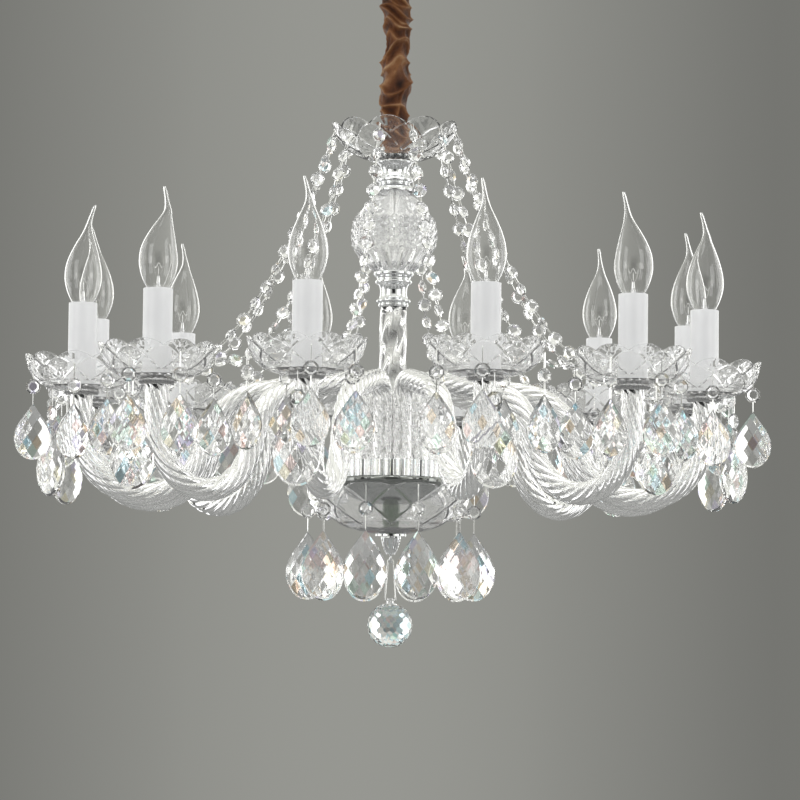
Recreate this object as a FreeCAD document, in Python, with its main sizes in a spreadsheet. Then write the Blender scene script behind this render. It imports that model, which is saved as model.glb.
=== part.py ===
import FreeCAD, Part
import Sketcher
import math
import os

# Crystal chandelier with twelve glass arms, hung on a short chain from a ceiling cup.
# Millimetres, +Z up. The origin is on the ceiling face, above the middle of the fixture.
# The front of the object is -Y. The arms stand every 30 degrees, the first at 15.

SIZES = {
    # ceiling fitting
    "canopy_rad": 55, "canopy_depth": 45, "canopy_wall": 1.5, "canopy_lip": 8,
    "bracket_length": 96, "bracket_width": 20, "bracket_thick": 3, "bracket_drop": 12,
    "bracket_centre": 54, "screw_spacing": 80, "screw_hole_rad": 2.5,
    "stem_rad": 5, "thread_gap": 0.05, "slip": 0.3, "nut_rad": 9.5, "nut_thick": 5,
    "collar_rad": 11, "collar_thick": 5,
    # loops, chain and sleeve
    "loop_mean": 8.5, "loop_wire": 2.5, "loop_neck": 1, "hook_gap": 0.5, "hang_gap": 0.3,
    "link_wire": 1.75, "link_bend": 5.75, "link_length": 33.4, "quick_length": 30,
    "sleeve_rad": 14.2, "sleeve_waist": 10.8, "sleeve_fold": 1.5, "sleeve_wall": 0.8,
    "sleeve_start": 58, "barrel_rad": 8, "barrel_length": 26.3, "rod_grip": 16,
    # central stack, from the top down
    "rod_rad": 4.5, "dish_floor": 4, "top_dish_rad": 60, "top_dish_depth": 35, "top_dish_foot": 22,
    "upper_spool_length": 29.6, "upper_spool_rad": 17.5, "ball_length": 75, "ball_rad": 40.5,
    "ball_neck": 19, "lower_spool_length": 33.2, "lower_spool_rad": 19, "column_length": 157.2,
    "column_rad": 13, "flute_depth": 1.6, "hub_gap": 0.6, "hub_wall": 1.9, "hub_floor": 3,
    "hub_height": 16, "reed_depth": 1, "plate_lip": 2.5, "plate_thick": 4, "spacer_rad": 8,
    "bottom_dish_rad": 77, "bottom_dish_depth": 45, "bottom_dish_gap": 3, "bottom_dish_foot": 16,
    "finial_length": 19, "finial_rad": 14.5, "finial_tip": 4.5, "finial_grip": 10,
    "eye_mean": 3.2, "eye_wire": 1.1, "eye_neck": 0.5, "eye_gap": 0.5,
    "bail_wire": 0.8, "bail_half": 5, "bail_length": 38.3,
    "drop_ball_rad": 21, "drop_neck_rad": 3.6, "drop_neck": 4,
    # arms
    "arm_reach": 294, "arm_root_rad": 9, "root_gap": 0.635, "arm_rad": 10.5, "arm_lead": 68,
    "arch_rad": 18, "fall_angle": 10, "shoulder_rad": 60, "dive_angle": 75,
    "turn_rad": 59, "low_drop": 23.5, "arm_end": 65.5,
    # what each arm carries
    "cup_rad": 16.5, "cup_thick": 4.5, "spigot_rad": 5, "spigot_length": 12,
    "drip_rad": 52, "drip_depth": 32, "drip_foot": 24, "drip_floor": 3.5, "drip_wall": 2.4,
    "scallop_drop": 5.5, "scallop_in": 2,
    "candle_rad": 13, "candle_wall": 1.3, "candle_length": 76.5,
    "holder_gap": 1.2, "holder_length": 62, "holder_cup": 22.3,
    "bulb_base_rad": 6.8, "bulb_base_length": 24, "bulb_gap": 2.2, "bulb_rad": 17.5,
    "bulb_belly": 30, "bulb_length": 94,
    # hanging crystals
    "bead_rad": 7, "bead_thick": 6, "pin_rad": 0.6, "rim_pin": 13, "drop_pin": 9.5,
    "small_drop_length": 50, "small_drop_width": 33, "large_drop_length": 63,
    "large_drop_width": 40, "drop_thick": 13, "rim_hang": 12, "inner_hang": 27,
    "inner_pin": 16, "inner_drop_pin": 6, "hub_hang": 3, "hub_pin": 15, "hub_drop_pin": 13,
}
ARMS = 12
FIRST_ARM = 15
LINKS = 3
SCALLOPS = 10
RIM_ANGLES = (0, 72, 144, 216, 288)
HUB_DROPS = 10
REEDS = 20
ARM_TWIST = 0.9  # degrees of rope twist for each millimetre of arm
COLUMN_TURN = 0.35  # degrees of twist for each millimetre of column

Vector = FreeCAD.Vector
Placement = FreeCAD.Placement
Rotation = FreeCAD.Rotation
UP = Vector(0, 0, 1)
FLAT = 1e-6

document = FreeCAD.newDocument("Chandelier")
sheet = document.addObject("Spreadsheet::Sheet", "Sizes")
for row, (alias, number) in enumerate(SIZES.items(), start=1):
    sheet.set(f"A{row}", alias)
    sheet.set(f"B{row}", str(number))
    sheet.setAlias(f"B{row}", alias)
document.recompute()


class Size:
    """A length together with the sheet expression that it comes from."""

    def __init__(self, value, text):
        self.value = float(value)
        self.text = text

    def joined(self, sign, other, value):
        text = other.text if isinstance(other, Size) else repr(float(other))
        return Size(value, f"({self.text} {sign} {text})")

    def __add__(self, other):
        return self.joined("+", other, self.value + plain(other))

    def __sub__(self, other):
        return self.joined("-", other, self.value - plain(other))

    def __mul__(self, other):
        return self.joined("*", other, self.value * plain(other))

    def __neg__(self):
        return self * -1


def plain(number):
    return number.value if isinstance(number, Size) else float(number)


def size(name):
    return Size(sheet.get(name), f"Sizes.{name}")


def read(name):
    """The plain number of a driving dimension, for shapes that a formula makes."""
    return float(sheet.get(name))


# Pieces made from sketches ------------------------------------------------------------------

def new_body(label, height):
    """An empty body, raised to its height in the assembly."""
    body = document.addObject("PartDesign::Body", f"{label}_body")
    body.Label = label
    body.setExpression(".Placement.Base.z", height.text)
    return body


def new_sketch(body, name, role):
    sketch = body.newObject("Sketcher::SketchObject", name)
    plane = next(item for item in body.Origin.OriginFeatures if item.Role == role)
    sketch.AttachmentSupport = (plane, [""])
    sketch.MapMode = "FlatFace"
    return sketch


def tie_point(sketch, geometry, vertex, along, across):
    """Ties a point of a sketch to its place, each way by an expression or to the axis."""
    for way, axis, place in (("DistanceX", -2, along), ("DistanceY", -1, across)):
        if abs(place.value) < FLAT:
            sketch.addConstraint(Sketcher.Constraint("PointOnObject", geometry, vertex, axis))
            continue
        index = sketch.addConstraint(
            Sketcher.Constraint(way, -1, 1, geometry, vertex, place.value))
        sketch.setExpression(f"Constraints[{index}]", place.text)


def draw_outline(sketch, points):
    """A closed outline through the points, each a pair of Sizes."""
    corners = [Vector(along.value, across.value) for along, across in points]
    for start, end in zip(corners, corners[1:] + corners[:1]):
        sketch.addGeometry(Part.LineSegment(start, end), False)
    for index in range(len(corners)):
        following = (index + 1) % len(corners)
        sketch.addConstraint(Sketcher.Constraint("Coincident", index, 2, following, 1))
    for index, (along, across) in enumerate(points):
        tie_point(sketch, index, 1, along, across)


def draw_circle(sketch, along, across, radius):
    circle = Part.Circle(Vector(along.value, across.value), UP, radius.value)
    index = sketch.addGeometry(circle, False)
    tie_point(sketch, index, 3, along, across)
    limit = sketch.addConstraint(Sketcher.Constraint("Radius", index, radius.value))
    sketch.setExpression(f"Constraints[{limit}]", radius.text)


def turned(label, height, outline):
    """A piece of revolution. The outline is (radius, height above the piece's own base)."""
    body = new_body(label, height)
    sketch = new_sketch(body, f"{label}_profile", "XZ_Plane")
    draw_outline(sketch, outline)
    turning = body.newObject("PartDesign::Revolution", f"{label}_turning")
    turning.Profile = sketch
    turning.ReferenceAxis = (sketch, ["V_Axis"])
    turning.Angle = 360
    return body


def tube_outline(outer, inner, length):
    return [(inner, ZERO), (outer, ZERO), (outer, length), (inner, length)]


# Pieces with flat facets --------------------------------------------------------------------

def ring(radius, height, sides, turn=0.0):
    """The points of a regular polygon round the Z axis. The turn is in degrees."""
    angles = [math.radians(360 * index / sides + turn) for index in range(sides)]
    return [Vector(radius * math.cos(a), radius * math.sin(a), height) for a in angles]


def clear_of(radius, sides):
    """The corner radius of a polygon whose flat sides just clear a circle."""
    return radius / math.cos(math.pi / sides)


def facet(*corners):
    return Part.Face(Part.makePolygon([*corners, corners[0]]))


def washer_face(larger, smaller):
    """A flat face between two polygons with different numbers of sides."""
    hole = smaller[::-1]
    return Part.Face([Part.makePolygon([*larger, larger[0]]), Part.makePolygon([*hole, hole[0]])])


def fan(few, many):
    """The facets from a ring of points to one with twice as many, three to each side."""
    faces = []
    for index, a in enumerate(few):
        b = few[(index + 1) % len(few)]
        start, middle, end = (many[(2 * index + step) % len(many)] for step in range(3))
        faces += [facet(a, b, middle), facet(a, middle, start), facet(b, end, middle)]
    return faces


def band(lower, upper):
    """The facets from one ring of points to the next. Points that aren't in one plane are split."""
    few, many = sorted((lower, upper), key=len)
    if len(many) == 2 * len(few):
        return fan(few, many)
    if len(many) > len(few):
        return [washer_face(*sorted((lower, upper), key=spread, reverse=True))]
    faces = []
    for index, a in enumerate(lower):
        following = (index + 1) % len(lower)
        b, c, d = lower[following], upper[following], upper[index]
        if abs((b - a).cross(c - a).dot(d - a)) < FLAT:
            faces.append(facet(a, b, c, d))
        else:
            faces += [facet(a, b, c), facet(a, c, d)]
    return faces


def spread(points):
    return max(math.hypot(point.x, point.y) for point in points)


def cut_solid(rings, bored=False):
    """A solid with flat facets through rings of points. A bore joins the last ring to the first."""
    faces = []
    for lower, upper in zip(rings, rings[1:]):
        faces += band(lower, upper)
    faces += band(rings[-1], rings[0]) if bored else [facet(*rings[0]), facet(*rings[-1])]
    solid = Part.Solid(Part.makeShell(faces))
    if solid.Volume < 0:
        solid.reverse()
    return solid


def polygon_turning(levels, sides):
    """A turned piece with flat sides. The levels are (radius, height) in order along it."""
    return cut_solid([ring(radius, height, sides) for radius, height in levels])


def point_to_point(outline, apexes):
    """A crystal with a sharp edge round its outline and one point on each face."""
    faces = []
    for apex in apexes:
        for start, end in zip(outline, outline[1:] + outline[:1]):
            faces.append(facet(start, end, apex))
    return Part.Solid(Part.makeShell(faces))


def bar(start, end, radius, sides=3):
    """A straight piece of wire from one point to another."""
    along = (end - start).normalize()
    side = along.cross(Vector(0.3, 0.9, 0.2)).normalize()
    other = along.cross(side)
    angles = [2 * math.pi * index / sides for index in range(sides)]
    return cut_solid([[middle + side * radius * math.cos(a) + other * radius * math.sin(a)
                       for a in angles] for middle in (start, end)])


def wire_loop(path, wire, sides=6):
    """A closed loop of wire through points in the XZ plane, with mitred corners."""
    rings = []
    for index, point in enumerate(path):
        before = (point - path[index - 1]).normalize()
        after = (path[(index + 1) % len(path)] - point).normalize()
        along = (before + after).normalize()
        across = Vector(0, 1, 0).cross(along) * (1 / along.dot(before))
        rings.append([point + across * wire * math.cos(a) + Vector(0, wire * math.sin(a), 0)
                      for a in (2 * math.pi * turn / sides for turn in range(sides))])
    return cut_solid(rings, bored=True)


def stadium(bend, length, steps=6):
    """Points round a link: two half turns whose tops and bottoms are the length apart."""
    rise = length / 2 - bend
    points = []
    for end, first in ((1, 0), (-1, 180)):
        for step in range(steps + 1):
            angle = math.radians(first + 180 * step / steps)
            points.append(Vector(bend * math.cos(angle), 0, end * rise + bend * math.sin(angle)))
    return points if rise > FLAT else [p for i, p in enumerate(points) if i % (steps + 1) < steps]


# Places -------------------------------------------------------------------------------------

def at(x=0.0, y=0.0, z=0.0, turn=0.0):
    return Placement(Vector(x, y, z), Rotation(UP, turn))


def around(count, first, reach, height):
    """Places round the Z axis, each with its own +X pointing outwards."""
    return [at(turn=first + 360 * index / count).multiply(at(x=reach, z=height))
            for index in range(count)]


def placed(shape, place):
    copy = shape.copy()
    copy.Placement = place.multiply(copy.Placement)
    return copy


def feature(label, shape, place=None):
    item = document.addObject("Part::Feature", f"{label}_shape")
    item.Label = label
    item.Shape = shape
    item.Placement = place or Placement()
    return item


def group(label, shapes):
    return feature(label, Part.makeCompound(shapes))


def cylinder(label, radius, length, height):
    item = document.addObject("Part::Cylinder", f"{label}_round")
    item.Label = label
    item.setExpression("Radius", radius.text)
    item.setExpression("Height", length.text)
    item.setExpression(".Placement.Base.z", height.text)
    return item


def fused(label, items):
    item = document.addObject("Part::MultiFuse", f"{label}_fused")
    item.Label = label
    item.Shapes = items
    return item


def cut(label, base, tool):
    item = document.addObject("Part::Cut", f"{label}_cut")
    item.Label = label
    item.Base = base
    item.Tool = tool
    return item


# Heights in the assembly, from the ceiling down ----------------------------------------------

ZERO = Size(0, "0")
LOOP_WIRE_Z = -(size("canopy_depth") + size("collar_thick") + size("loop_neck")
                + size("loop_mean") * 2)
LINK_STEP = size("link_length") - size("link_wire") * 2 - size("hook_gap")
CHAIN_TOP_Z = LOOP_WIRE_Z + size("loop_wire") + size("link_wire") + size("hook_gap")
CHAIN_END_Z = CHAIN_TOP_Z - size("link_length") - LINK_STEP * (LINKS - 1)
QUICK_TOP_Z = CHAIN_END_Z + size("link_wire") * 2 + size("hook_gap")
QUICK_END_Z = QUICK_TOP_Z - size("quick_length")
RING_TOP_Z = QUICK_END_Z + size("link_wire") + size("loop_wire") + size("hook_gap")
BARREL_TOP_Z = RING_TOP_Z - size("loop_mean") * 2 - size("loop_neck")
BARREL_Z = BARREL_TOP_Z - size("barrel_length")
TOP_DISH_Z = BARREL_Z - size("dish_floor")
UPPER_SPOOL_Z = TOP_DISH_Z - size("upper_spool_length")
BALL_Z = UPPER_SPOOL_Z - size("ball_length")
LOWER_SPOOL_Z = BALL_Z - size("lower_spool_length")
COLUMN_Z = LOWER_SPOOL_Z - size("column_length")
HUB_Z = COLUMN_Z - size("hub_floor")
PLATE_Z = HUB_Z - size("plate_thick")
BOTTOM_DISH_Z = PLATE_Z - size("bottom_dish_gap") - size("bottom_dish_depth")
FINIAL_Z = BOTTOM_DISH_Z - size("finial_length")
EYE_WIRE_Z = FINIAL_Z - size("eye_neck") - size("eye_mean") * 2
BAIL_TOP_Z = EYE_WIRE_Z + size("eye_wire") + size("bail_wire") + size("eye_gap")
CUP_Z = COLUMN_Z + size("arm_end")
DRIP_Z = CUP_Z + size("cup_thick")
BORE = size("rod_rad") + size("slip")
ARM_BASE = (size("arm_root_rad") * 2 + size("root_gap")) * (0.5 / math.sin(math.pi / ARMS))
HUB_RAD = ARM_BASE + size("arm_root_rad") + size("hub_gap") + size("hub_wall")
CANDLE_BORE = size("candle_rad") - size("candle_wall")
ROD_Z = FINIAL_Z + size("finial_length") - size("finial_grip") + size("slip")


# Ceiling fitting ----------------------------------------------------------------------------

def make_bracket():
    body = new_body("ceiling_bracket", ZERO)
    half, centre = size("bracket_length") * 0.5, size("bracket_centre") * 0.5
    thick, drop = size("bracket_thick"), size("bracket_drop")
    right = [(centre, ZERO), (half, ZERO), (half, -thick), (centre + thick, -thick),
             (centre + thick, -drop)]
    left = [(-x, z) for x, z in reversed(right)]
    top = [(-centre, thick - drop), (centre, thick - drop)]
    profile = new_sketch(body, "bracket_profile", "XZ_Plane")
    draw_outline(profile, right + left + top)
    pad = body.newObject("PartDesign::Pad", "bracket_pad")
    pad.Profile = profile
    pad.Midplane = True
    pad.setExpression("Length", "Sizes.bracket_width")
    holes = new_sketch(body, "bracket_holes", "XY_Plane")
    for side in (-0.5, 0.5):
        draw_circle(holes, size("screw_spacing") * side, ZERO, size("screw_hole_rad"))
    draw_circle(holes, ZERO, ZERO, size("stem_rad") + size("slip"))
    pocket = body.newObject("PartDesign::Pocket", "bracket_drilling")
    pocket.Profile = holes
    pocket.Type = "ThroughAll"
    return body


def make_canopy():
    rad, depth, wall = size("canopy_rad"), size("canopy_depth"), size("canopy_wall")
    hole = size("stem_rad") + size("slip")
    brim = depth - size("canopy_lip")
    return turned("canopy", -depth, [
        (hole, ZERO), (rad * 0.4, ZERO), (rad, brim), (rad, depth), (rad - wall, depth),
        (rad - wall, brim + wall * 0.5), (rad * 0.4 - wall * 0.5, wall), (hole, wall)])


def make_nuts():
    """The two nuts that lock the stem of the canopy loop to the bracket."""
    bore = clear_of(read("stem_rad") + read("thread_gap"), 12)
    rad, thick = read("nut_rad"), read("nut_thick")
    nut = cut_solid([ring(bore, 0, 12), ring(rad, 0, 6), ring(rad, thick, 6),
                     ring(bore, thick, 12)], bored=True)
    above = read("bracket_thick") - read("bracket_drop")
    below = -read("bracket_drop") - read("nut_thick")
    return group("canopy_nuts", [placed(nut, at(z=above)), placed(nut, at(z=below))])


def ring_loop(label, height, turn):
    """A round loop of wire that stands on edge, with its middle at the height given."""
    mean = read("loop_mean")
    loop = wire_loop(stadium(mean, 2 * mean), read("loop_wire"))
    return feature(label, loop, at(z=height, turn=turn))


def make_canopy_loop():
    """A ring on a collar, whose stem goes up through the canopy and the bracket."""
    depth, thick = size("canopy_depth"), size("collar_thick")
    stem = cylinder("loop_stem", size("stem_rad"), depth - 2, -depth)
    collar = cylinder("loop_collar", size("collar_rad"), thick, -depth - thick)
    loop = ring_loop("loop_wire", LOOP_WIRE_Z.value + read("loop_mean"), 0)
    return fused("canopy_loop", [stem, collar, loop])


# Chain and sleeve ---------------------------------------------------------------------------

def make_chain():
    """Open steel links. The first and the last lie in the YZ plane."""
    length = read("link_length")
    link = wire_loop(stadium(read("link_bend"), length), read("link_wire"))
    links = []
    for index in range(LINKS):
        middle = CHAIN_TOP_Z.value - length / 2 - LINK_STEP.value * index
        links.append(placed(link, at(z=middle, turn=90 * ((index + 1) % 2))))
    return group("chain_links", links)


def make_quick_link():
    length = read("quick_length")
    link = wire_loop(stadium(read("link_bend"), length), read("link_wire"))
    return feature("quick_link", link, at(z=QUICK_TOP_Z.value - length / 2))


def make_sleeve():
    """A gathered cloth tube over the chain, wide at both ends and drawn in on the links."""
    start, end = -read("sleeve_start"), BARREL_Z.value + read("hang_gap")
    wide, waist, wall = read("sleeve_rad"), read("sleeve_waist"), read("sleeve_wall")
    gathers, levels = 7, 7
    wide_from = (RING_TOP_Z.value + 3 * read("loop_wire") - start) / (end - start)

    def skin(inset, share):
        drawn_in = 0.15 < share < wide_from
        middle = (waist if drawn_in else wide) - inset
        height = start + (end - start) * share
        points = []
        for index in range(2 * gathers):
            fold = read("sleeve_fold") * (-1) ** index
            lean = math.radians(180 * index / gathers + 14 * math.sin(7 * share))
            points.append(Vector((middle + fold) * math.cos(lean), (middle + fold) * math.sin(lean),
                                 height))
        return points

    shares = [index / levels for index in range(levels + 1)]
    outer = [skin(0, share) for share in shares]
    inner = [skin(wall, share) for share in reversed(shares)]
    return feature("chain_sleeve", cut_solid(outer + inner, bored=True))


def make_top_ring():
    """The ring that the fixture hangs from, on a barrel screwed to the centre rod."""
    loop = ring_loop("top_ring_wire", RING_TOP_Z.value - read("loop_mean"), 90)
    barrel = cylinder("barrel", size("barrel_rad"), size("barrel_length"), BARREL_Z)
    bore = cylinder("barrel_bore", BORE, size("rod_grip") + size("slip"), BARREL_Z)
    return cut("top_ring", fused("ring_and_barrel", [barrel, loop]), bore)


# Central stack ------------------------------------------------------------------------------

def scalloped_dish(profile, wall, floor, bore, drop, inward):
    """A cut-glass dish. The profile is the outside, (radius, height) from the foot to the rim.

    Each scallop of the rim rises to a tip over a corner of the foot, and two scallops meet
    lower down and further in.
    """
    def rim(radius, height):
        points = ring(radius, height, 2 * SCALLOPS)
        lower = ring(radius - inward, height - drop, 2 * SCALLOPS)
        return [lower[index] if index % 2 else point for index, point in enumerate(points)]

    outside = [ring(radius, height, SCALLOPS) for radius, height in profile[:-1]]
    inside = [ring(radius - wall, height + floor * 0.4, SCALLOPS)
              for radius, height in profile[1:-1]]
    radius, height = profile[-1]
    under, top = (ring(bore, level, 8) for level in (0, floor))
    return cut_solid([under, *outside, rim(radius, height), rim(radius - wall, height),
                      *reversed(inside), ring(profile[0][0] - wall, floor, SCALLOPS), top],
                     bored=True)


def make_top_dish():
    foot, rad, depth = read("top_dish_foot"), read("top_dish_rad"), read("top_dish_depth")
    profile = [(foot, 0), (rad * 0.78, depth * 0.36), (rad, depth)]
    dish = scalloped_dish(profile, read("drip_wall"), read("dish_floor"), clear_of(BORE.value, 8),
                          read("scallop_drop") * 1.25, read("scallop_in"))
    return feature("top_dish", dish, at(z=TOP_DISH_Z.value))


def make_upper_spool():
    """Chrome spool: narrow waist, a flange, and a cap over the neck of the glass ball."""
    length, rad, cap = size("upper_spool_length"), size("upper_spool_rad"), size("ball_neck")
    return turned("upper_spool", UPPER_SPOOL_Z, [
        (BORE, ZERO), (cap + 0.5, ZERO), (cap, length * 0.2), (rad * 0.8, length * 0.3),
        (rad, length * 0.42), (rad, length * 0.54), (rad * 0.69, length * 0.7),
        (rad * 0.88, length), (BORE, length)])


def make_glass_ball():
    """Cut-glass ball: a netted band round the middle over long flutes."""
    length, rad, neck = read("ball_length"), read("ball_rad"), read("ball_neck")
    sides, half_side = 14, 180 / 14
    levels = [(neck * 0.97, 0.0, 0), (rad * 0.74, 0.11, 0), (rad * 0.95, 0.3, 0),
              (rad, 0.5, half_side), (rad * 0.95, 0.68, 0),
              (rad * 0.78, 0.86, half_side), (neck, 1.0, half_side)]
    rings = [ring(radius, length * share, sides, turn) for radius, share, turn in levels]
    bores = [ring(clear_of(BORE.value, 8), height, 8) for height in (0, length)]
    return feature("glass_ball", cut_solid([bores[0], *rings, bores[1]], bored=True),
                   at(z=BALL_Z.value))


def make_lower_spool():
    """Chrome spool: a cap under the glass ball, a waist and a ring on top of the column."""
    length, rad = size("lower_spool_length"), size("lower_spool_rad")
    return turned("lower_spool", LOWER_SPOOL_Z, [
        (BORE, ZERO), (rad * 0.74, ZERO), (rad * 0.87, length * 0.12), (rad * 0.82, length * 0.24),
        (rad * 0.65, length * 0.36), (rad * 0.65, length * 0.58), (rad * 0.8, length * 0.74),
        (rad, length * 0.86), (rad, length), (BORE, length)])


def make_column():
    """Glass column with flutes that wind round it."""
    length, rad = read("column_length"), read("column_rad")
    ribs, levels = 6, 10
    rings = []
    for level in range(levels + 1):
        height = length * level / levels
        points = []
        for index in range(2 * ribs):
            radius = rad - read("flute_depth") * (index % 2)
            angle = math.radians(180 * index / ribs + COLUMN_TURN * height)
            points.append(Vector(radius * math.cos(angle), radius * math.sin(angle), height))
        rings.append(points)
    bores = [ring(clear_of(BORE.value, 8), height, 8) for height in (0, length)]
    return feature("column", cut_solid([bores[0], *rings, bores[1]], bored=True),
                   at(z=COLUMN_Z.value))


def make_hub():
    """Reeded chrome cup that holds the roots of the arms."""
    rad, wall = HUB_RAD, size("hub_wall")
    body = turned("hub_ring", HUB_Z, [
        (BORE, ZERO), (rad, ZERO), (rad, size("hub_height")), (rad - wall, size("hub_height")),
        (rad - wall, size("hub_floor")), (BORE, size("hub_floor"))])
    notch = new_sketch(body, "hub_notch", "XY_Plane")
    half = rad * (math.pi / REEDS * 0.5)
    draw_outline(notch, [(rad - size("reed_depth"), ZERO), (rad + 1, half), (rad + 1, -half)])
    document.recompute()
    reed = body.newObject("PartDesign::Pocket", "hub_reed")
    reed.Profile = notch
    reed.Type = "ThroughAll"
    reed.Reversed = True
    document.recompute()
    reeds = body.newObject("PartDesign::PolarPattern", "hub_reeds")
    reeds.Originals = [reed]
    reeds.Axis = (notch, ["N_Axis"])
    reeds.Angle = 360
    reeds.Occurrences = REEDS
    body.Tip = reeds
    return body


def make_spacer():
    """Sleeve on the rod that carries the bottom dish at its distance from the plate."""
    length = PLATE_Z.value - BOTTOM_DISH_Z.value - read("dish_floor")
    rad, sides = read("spacer_rad"), 10
    bore = clear_of(BORE.value, sides)
    tube = cut_solid([ring(bore, 0, sides), ring(rad, 0, sides), ring(rad, length, sides),
                      ring(bore, length, sides)], bored=True)
    return feature("bottom_spacer", tube, at(z=BOTTOM_DISH_Z.value + read("dish_floor")))


def make_bottom_dish():
    foot, rad, depth = (read(f"bottom_dish_{name}") for name in ("foot", "rad", "depth"))
    profile = [(foot, 0), (rad * 0.58, depth * 0.15), (rad * 0.83, depth * 0.5), (rad, depth)]
    dish = scalloped_dish(profile, read("drip_wall"), read("dish_floor"), clear_of(BORE.value, 8),
                          read("scallop_drop") * 0.6, read("scallop_in"))
    return feature("bottom_dish", dish, at(z=BOTTOM_DISH_Z.value))


def make_finial():
    """Nut that closes the stack, with the eye for the drop ball under it."""
    length, rad = size("finial_length"), size("finial_rad")
    blind = length - size("finial_grip")
    turning = turned("finial_turning", FINIAL_Z, [
        (ZERO, ZERO), (size("finial_tip"), ZERO), (rad * 0.6, length * 0.85), (rad, length * 0.88),
        (rad, length), (BORE, length), (BORE, blind), (ZERO, blind)])
    mean = read("eye_mean")
    eye = feature("finial_eye", wire_loop(stadium(mean, 2 * mean, 4), read("eye_wire")),
                  at(z=EYE_WIRE_Z.value + mean, turn=90))
    return fused("finial_nut", [turning, eye])


# Drop ball ----------------------------------------------------------------------------------

def make_bail():
    """A wire bail round the eye: a half turn at the top, two legs and a bar through the neck."""
    radius = BAIL_TOP_Z.value - EYE_WIRE_Z.value
    path = [Vector(radius * math.cos(a), 0, radius * math.sin(a))
            for a in (math.pi * step / 6 for step in range(7))]
    foot = radius - read("bail_length")
    path += [Vector(-read("bail_half"), 0, foot), Vector(read("bail_half"), 0, foot)]
    return feature("ball_bail", wire_loop(path, read("bail_wire")), at(z=EYE_WIRE_Z.value))


def make_drop_ball():
    """Faceted crystal ball under a neck that is drilled for the bail."""
    rad, neck, neck_rad = read("drop_ball_rad"), read("drop_neck"), read("drop_neck_rad")
    centre = BAIL_TOP_Z.value - read("bail_length") - neck / 2 - rad
    rings = [ring(rad * math.sin(math.radians(angle)), -rad * math.cos(math.radians(angle)), 10,
                  18 * (index % 2)) for index, angle in enumerate((20, 52, 82, 112, 142))]
    rings += [ring(neck_rad, height, 10, 18) for height in (rad, rad + neck)]
    ball = feature("ball_blank", cut_solid(rings), at(z=centre))
    middle, reach = Vector(0, 0, rad + neck / 2), Vector(2 * neck_rad, 0, 0)
    hole = bar(middle - reach, middle + reach, read("bail_wire") + read("eye_gap"), 6)
    return cut("drop_ball", ball, feature("ball_drilling", hole, at(z=centre)))


# Arms ---------------------------------------------------------------------------------------

def arm_stations():
    """Places along the middle of an arm: (reach, height, heading in degrees), from the hub out.

    The arm rises, goes over a small arch, falls gently, bends down over the shoulder and
    turns up again in a wide half circle. The fall is as long as brings the shoulder to the dive.
    """
    base, arch, shoulder = ARM_BASE.value, read("arch_rad"), read("shoulder_rad")
    fall, dive = math.radians(read("fall_angle")), math.radians(read("dive_angle"))
    sweep, drop = read("turn_rad"), read("low_drop")
    low = read("arm_reach") - sweep
    stations = [(base, read("arm_lead") * step / 3, 90) for step in range(3)]

    def bend(centre_x, centre_z, radius, first, last, steps, side):
        for step in range(steps + 1):
            heading = first + (last - first) * step / steps
            turn = math.radians(heading)
            stations.append((centre_x - side * radius * math.sin(turn),
                             centre_z + side * radius * math.cos(turn), heading))

    bend(base + arch, read("arm_lead"), arch, 90, -math.degrees(fall), 3, 1)
    peak_x, peak_z, heading = stations[-1]
    dive_x = low - sweep * math.sin(dive)
    dive_z = -drop + sweep * (1 - math.cos(dive))
    over_x = shoulder * (math.sin(dive) - math.sin(fall))
    over_z = shoulder * (math.cos(fall) - math.cos(dive))
    fall_x = ((dive_x - peak_x - over_x) * math.tan(dive) - (peak_z - over_z - dive_z)) / (
        math.tan(dive) - math.tan(fall))
    stations.append((peak_x + fall_x / 2, peak_z - fall_x / 2 * math.tan(fall), heading))
    start_x, start_z = peak_x + fall_x, peak_z - fall_x * math.tan(fall)
    bend(start_x - shoulder * math.sin(fall), start_z - shoulder * math.cos(fall), shoulder,
         -math.degrees(fall), -math.degrees(dive), 3, 1)
    bend(low, sweep - drop, sweep, -math.degrees(dive), 90, 7, -1)
    stations.append((read("arm_reach"), read("arm_end"), 90))
    return stations


def make_arms():
    """Rope-twisted glass arms, thinner at the root where they stand side by side."""
    root, full, lead = read("arm_root_rad"), read("arm_rad"), read("arm_lead")
    sides, length, last = 5, 0.0, None
    rings = []
    for reach, height, heading in arm_stations():
        middle = Vector(reach, 0, height)
        length += (middle - last).Length if last else 0.0
        last = middle
        turn = math.radians(heading)
        across = Vector(-math.sin(turn), 0, math.cos(turn))
        radius = root + (full - root) * min(1, max(0, length / lead - 1))
        angles = [math.radians(360 * index / sides + ARM_TWIST * length) for index in range(sides)]
        rings.append([middle + across * radius * math.cos(a) + Vector(0, radius * math.sin(a), 0)
                      for a in angles])
    arm = cut_solid(rings)
    return group("arms", [placed(arm, place) for place in around(ARMS, FIRST_ARM, 0, COLUMN_Z.value)])


def arm_ends(lift=0.0):
    return around(ARMS, FIRST_ARM, read("arm_reach"), DRIP_Z.value + lift)


# What each arm carries ----------------------------------------------------------------------

def make_cups():
    """Metal cup on each arm's end, with a spigot up through the dish."""
    rad, thick, spigot = read("cup_rad"), read("cup_thick"), read("spigot_rad")
    cup = cut_solid([ring(rad * 0.85, -thick, 10), ring(rad, 0, 10), ring(spigot, 0, 6),
                     ring(spigot, read("spigot_length"), 6)])
    return group("arm_cups", [placed(cup, place) for place in arm_ends()])


def drip_profile():
    rad, depth = read("drip_rad"), read("drip_depth")
    return [(read("drip_foot"), 0), (rad * 0.86, depth * 0.31), (rad, depth)]


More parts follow.
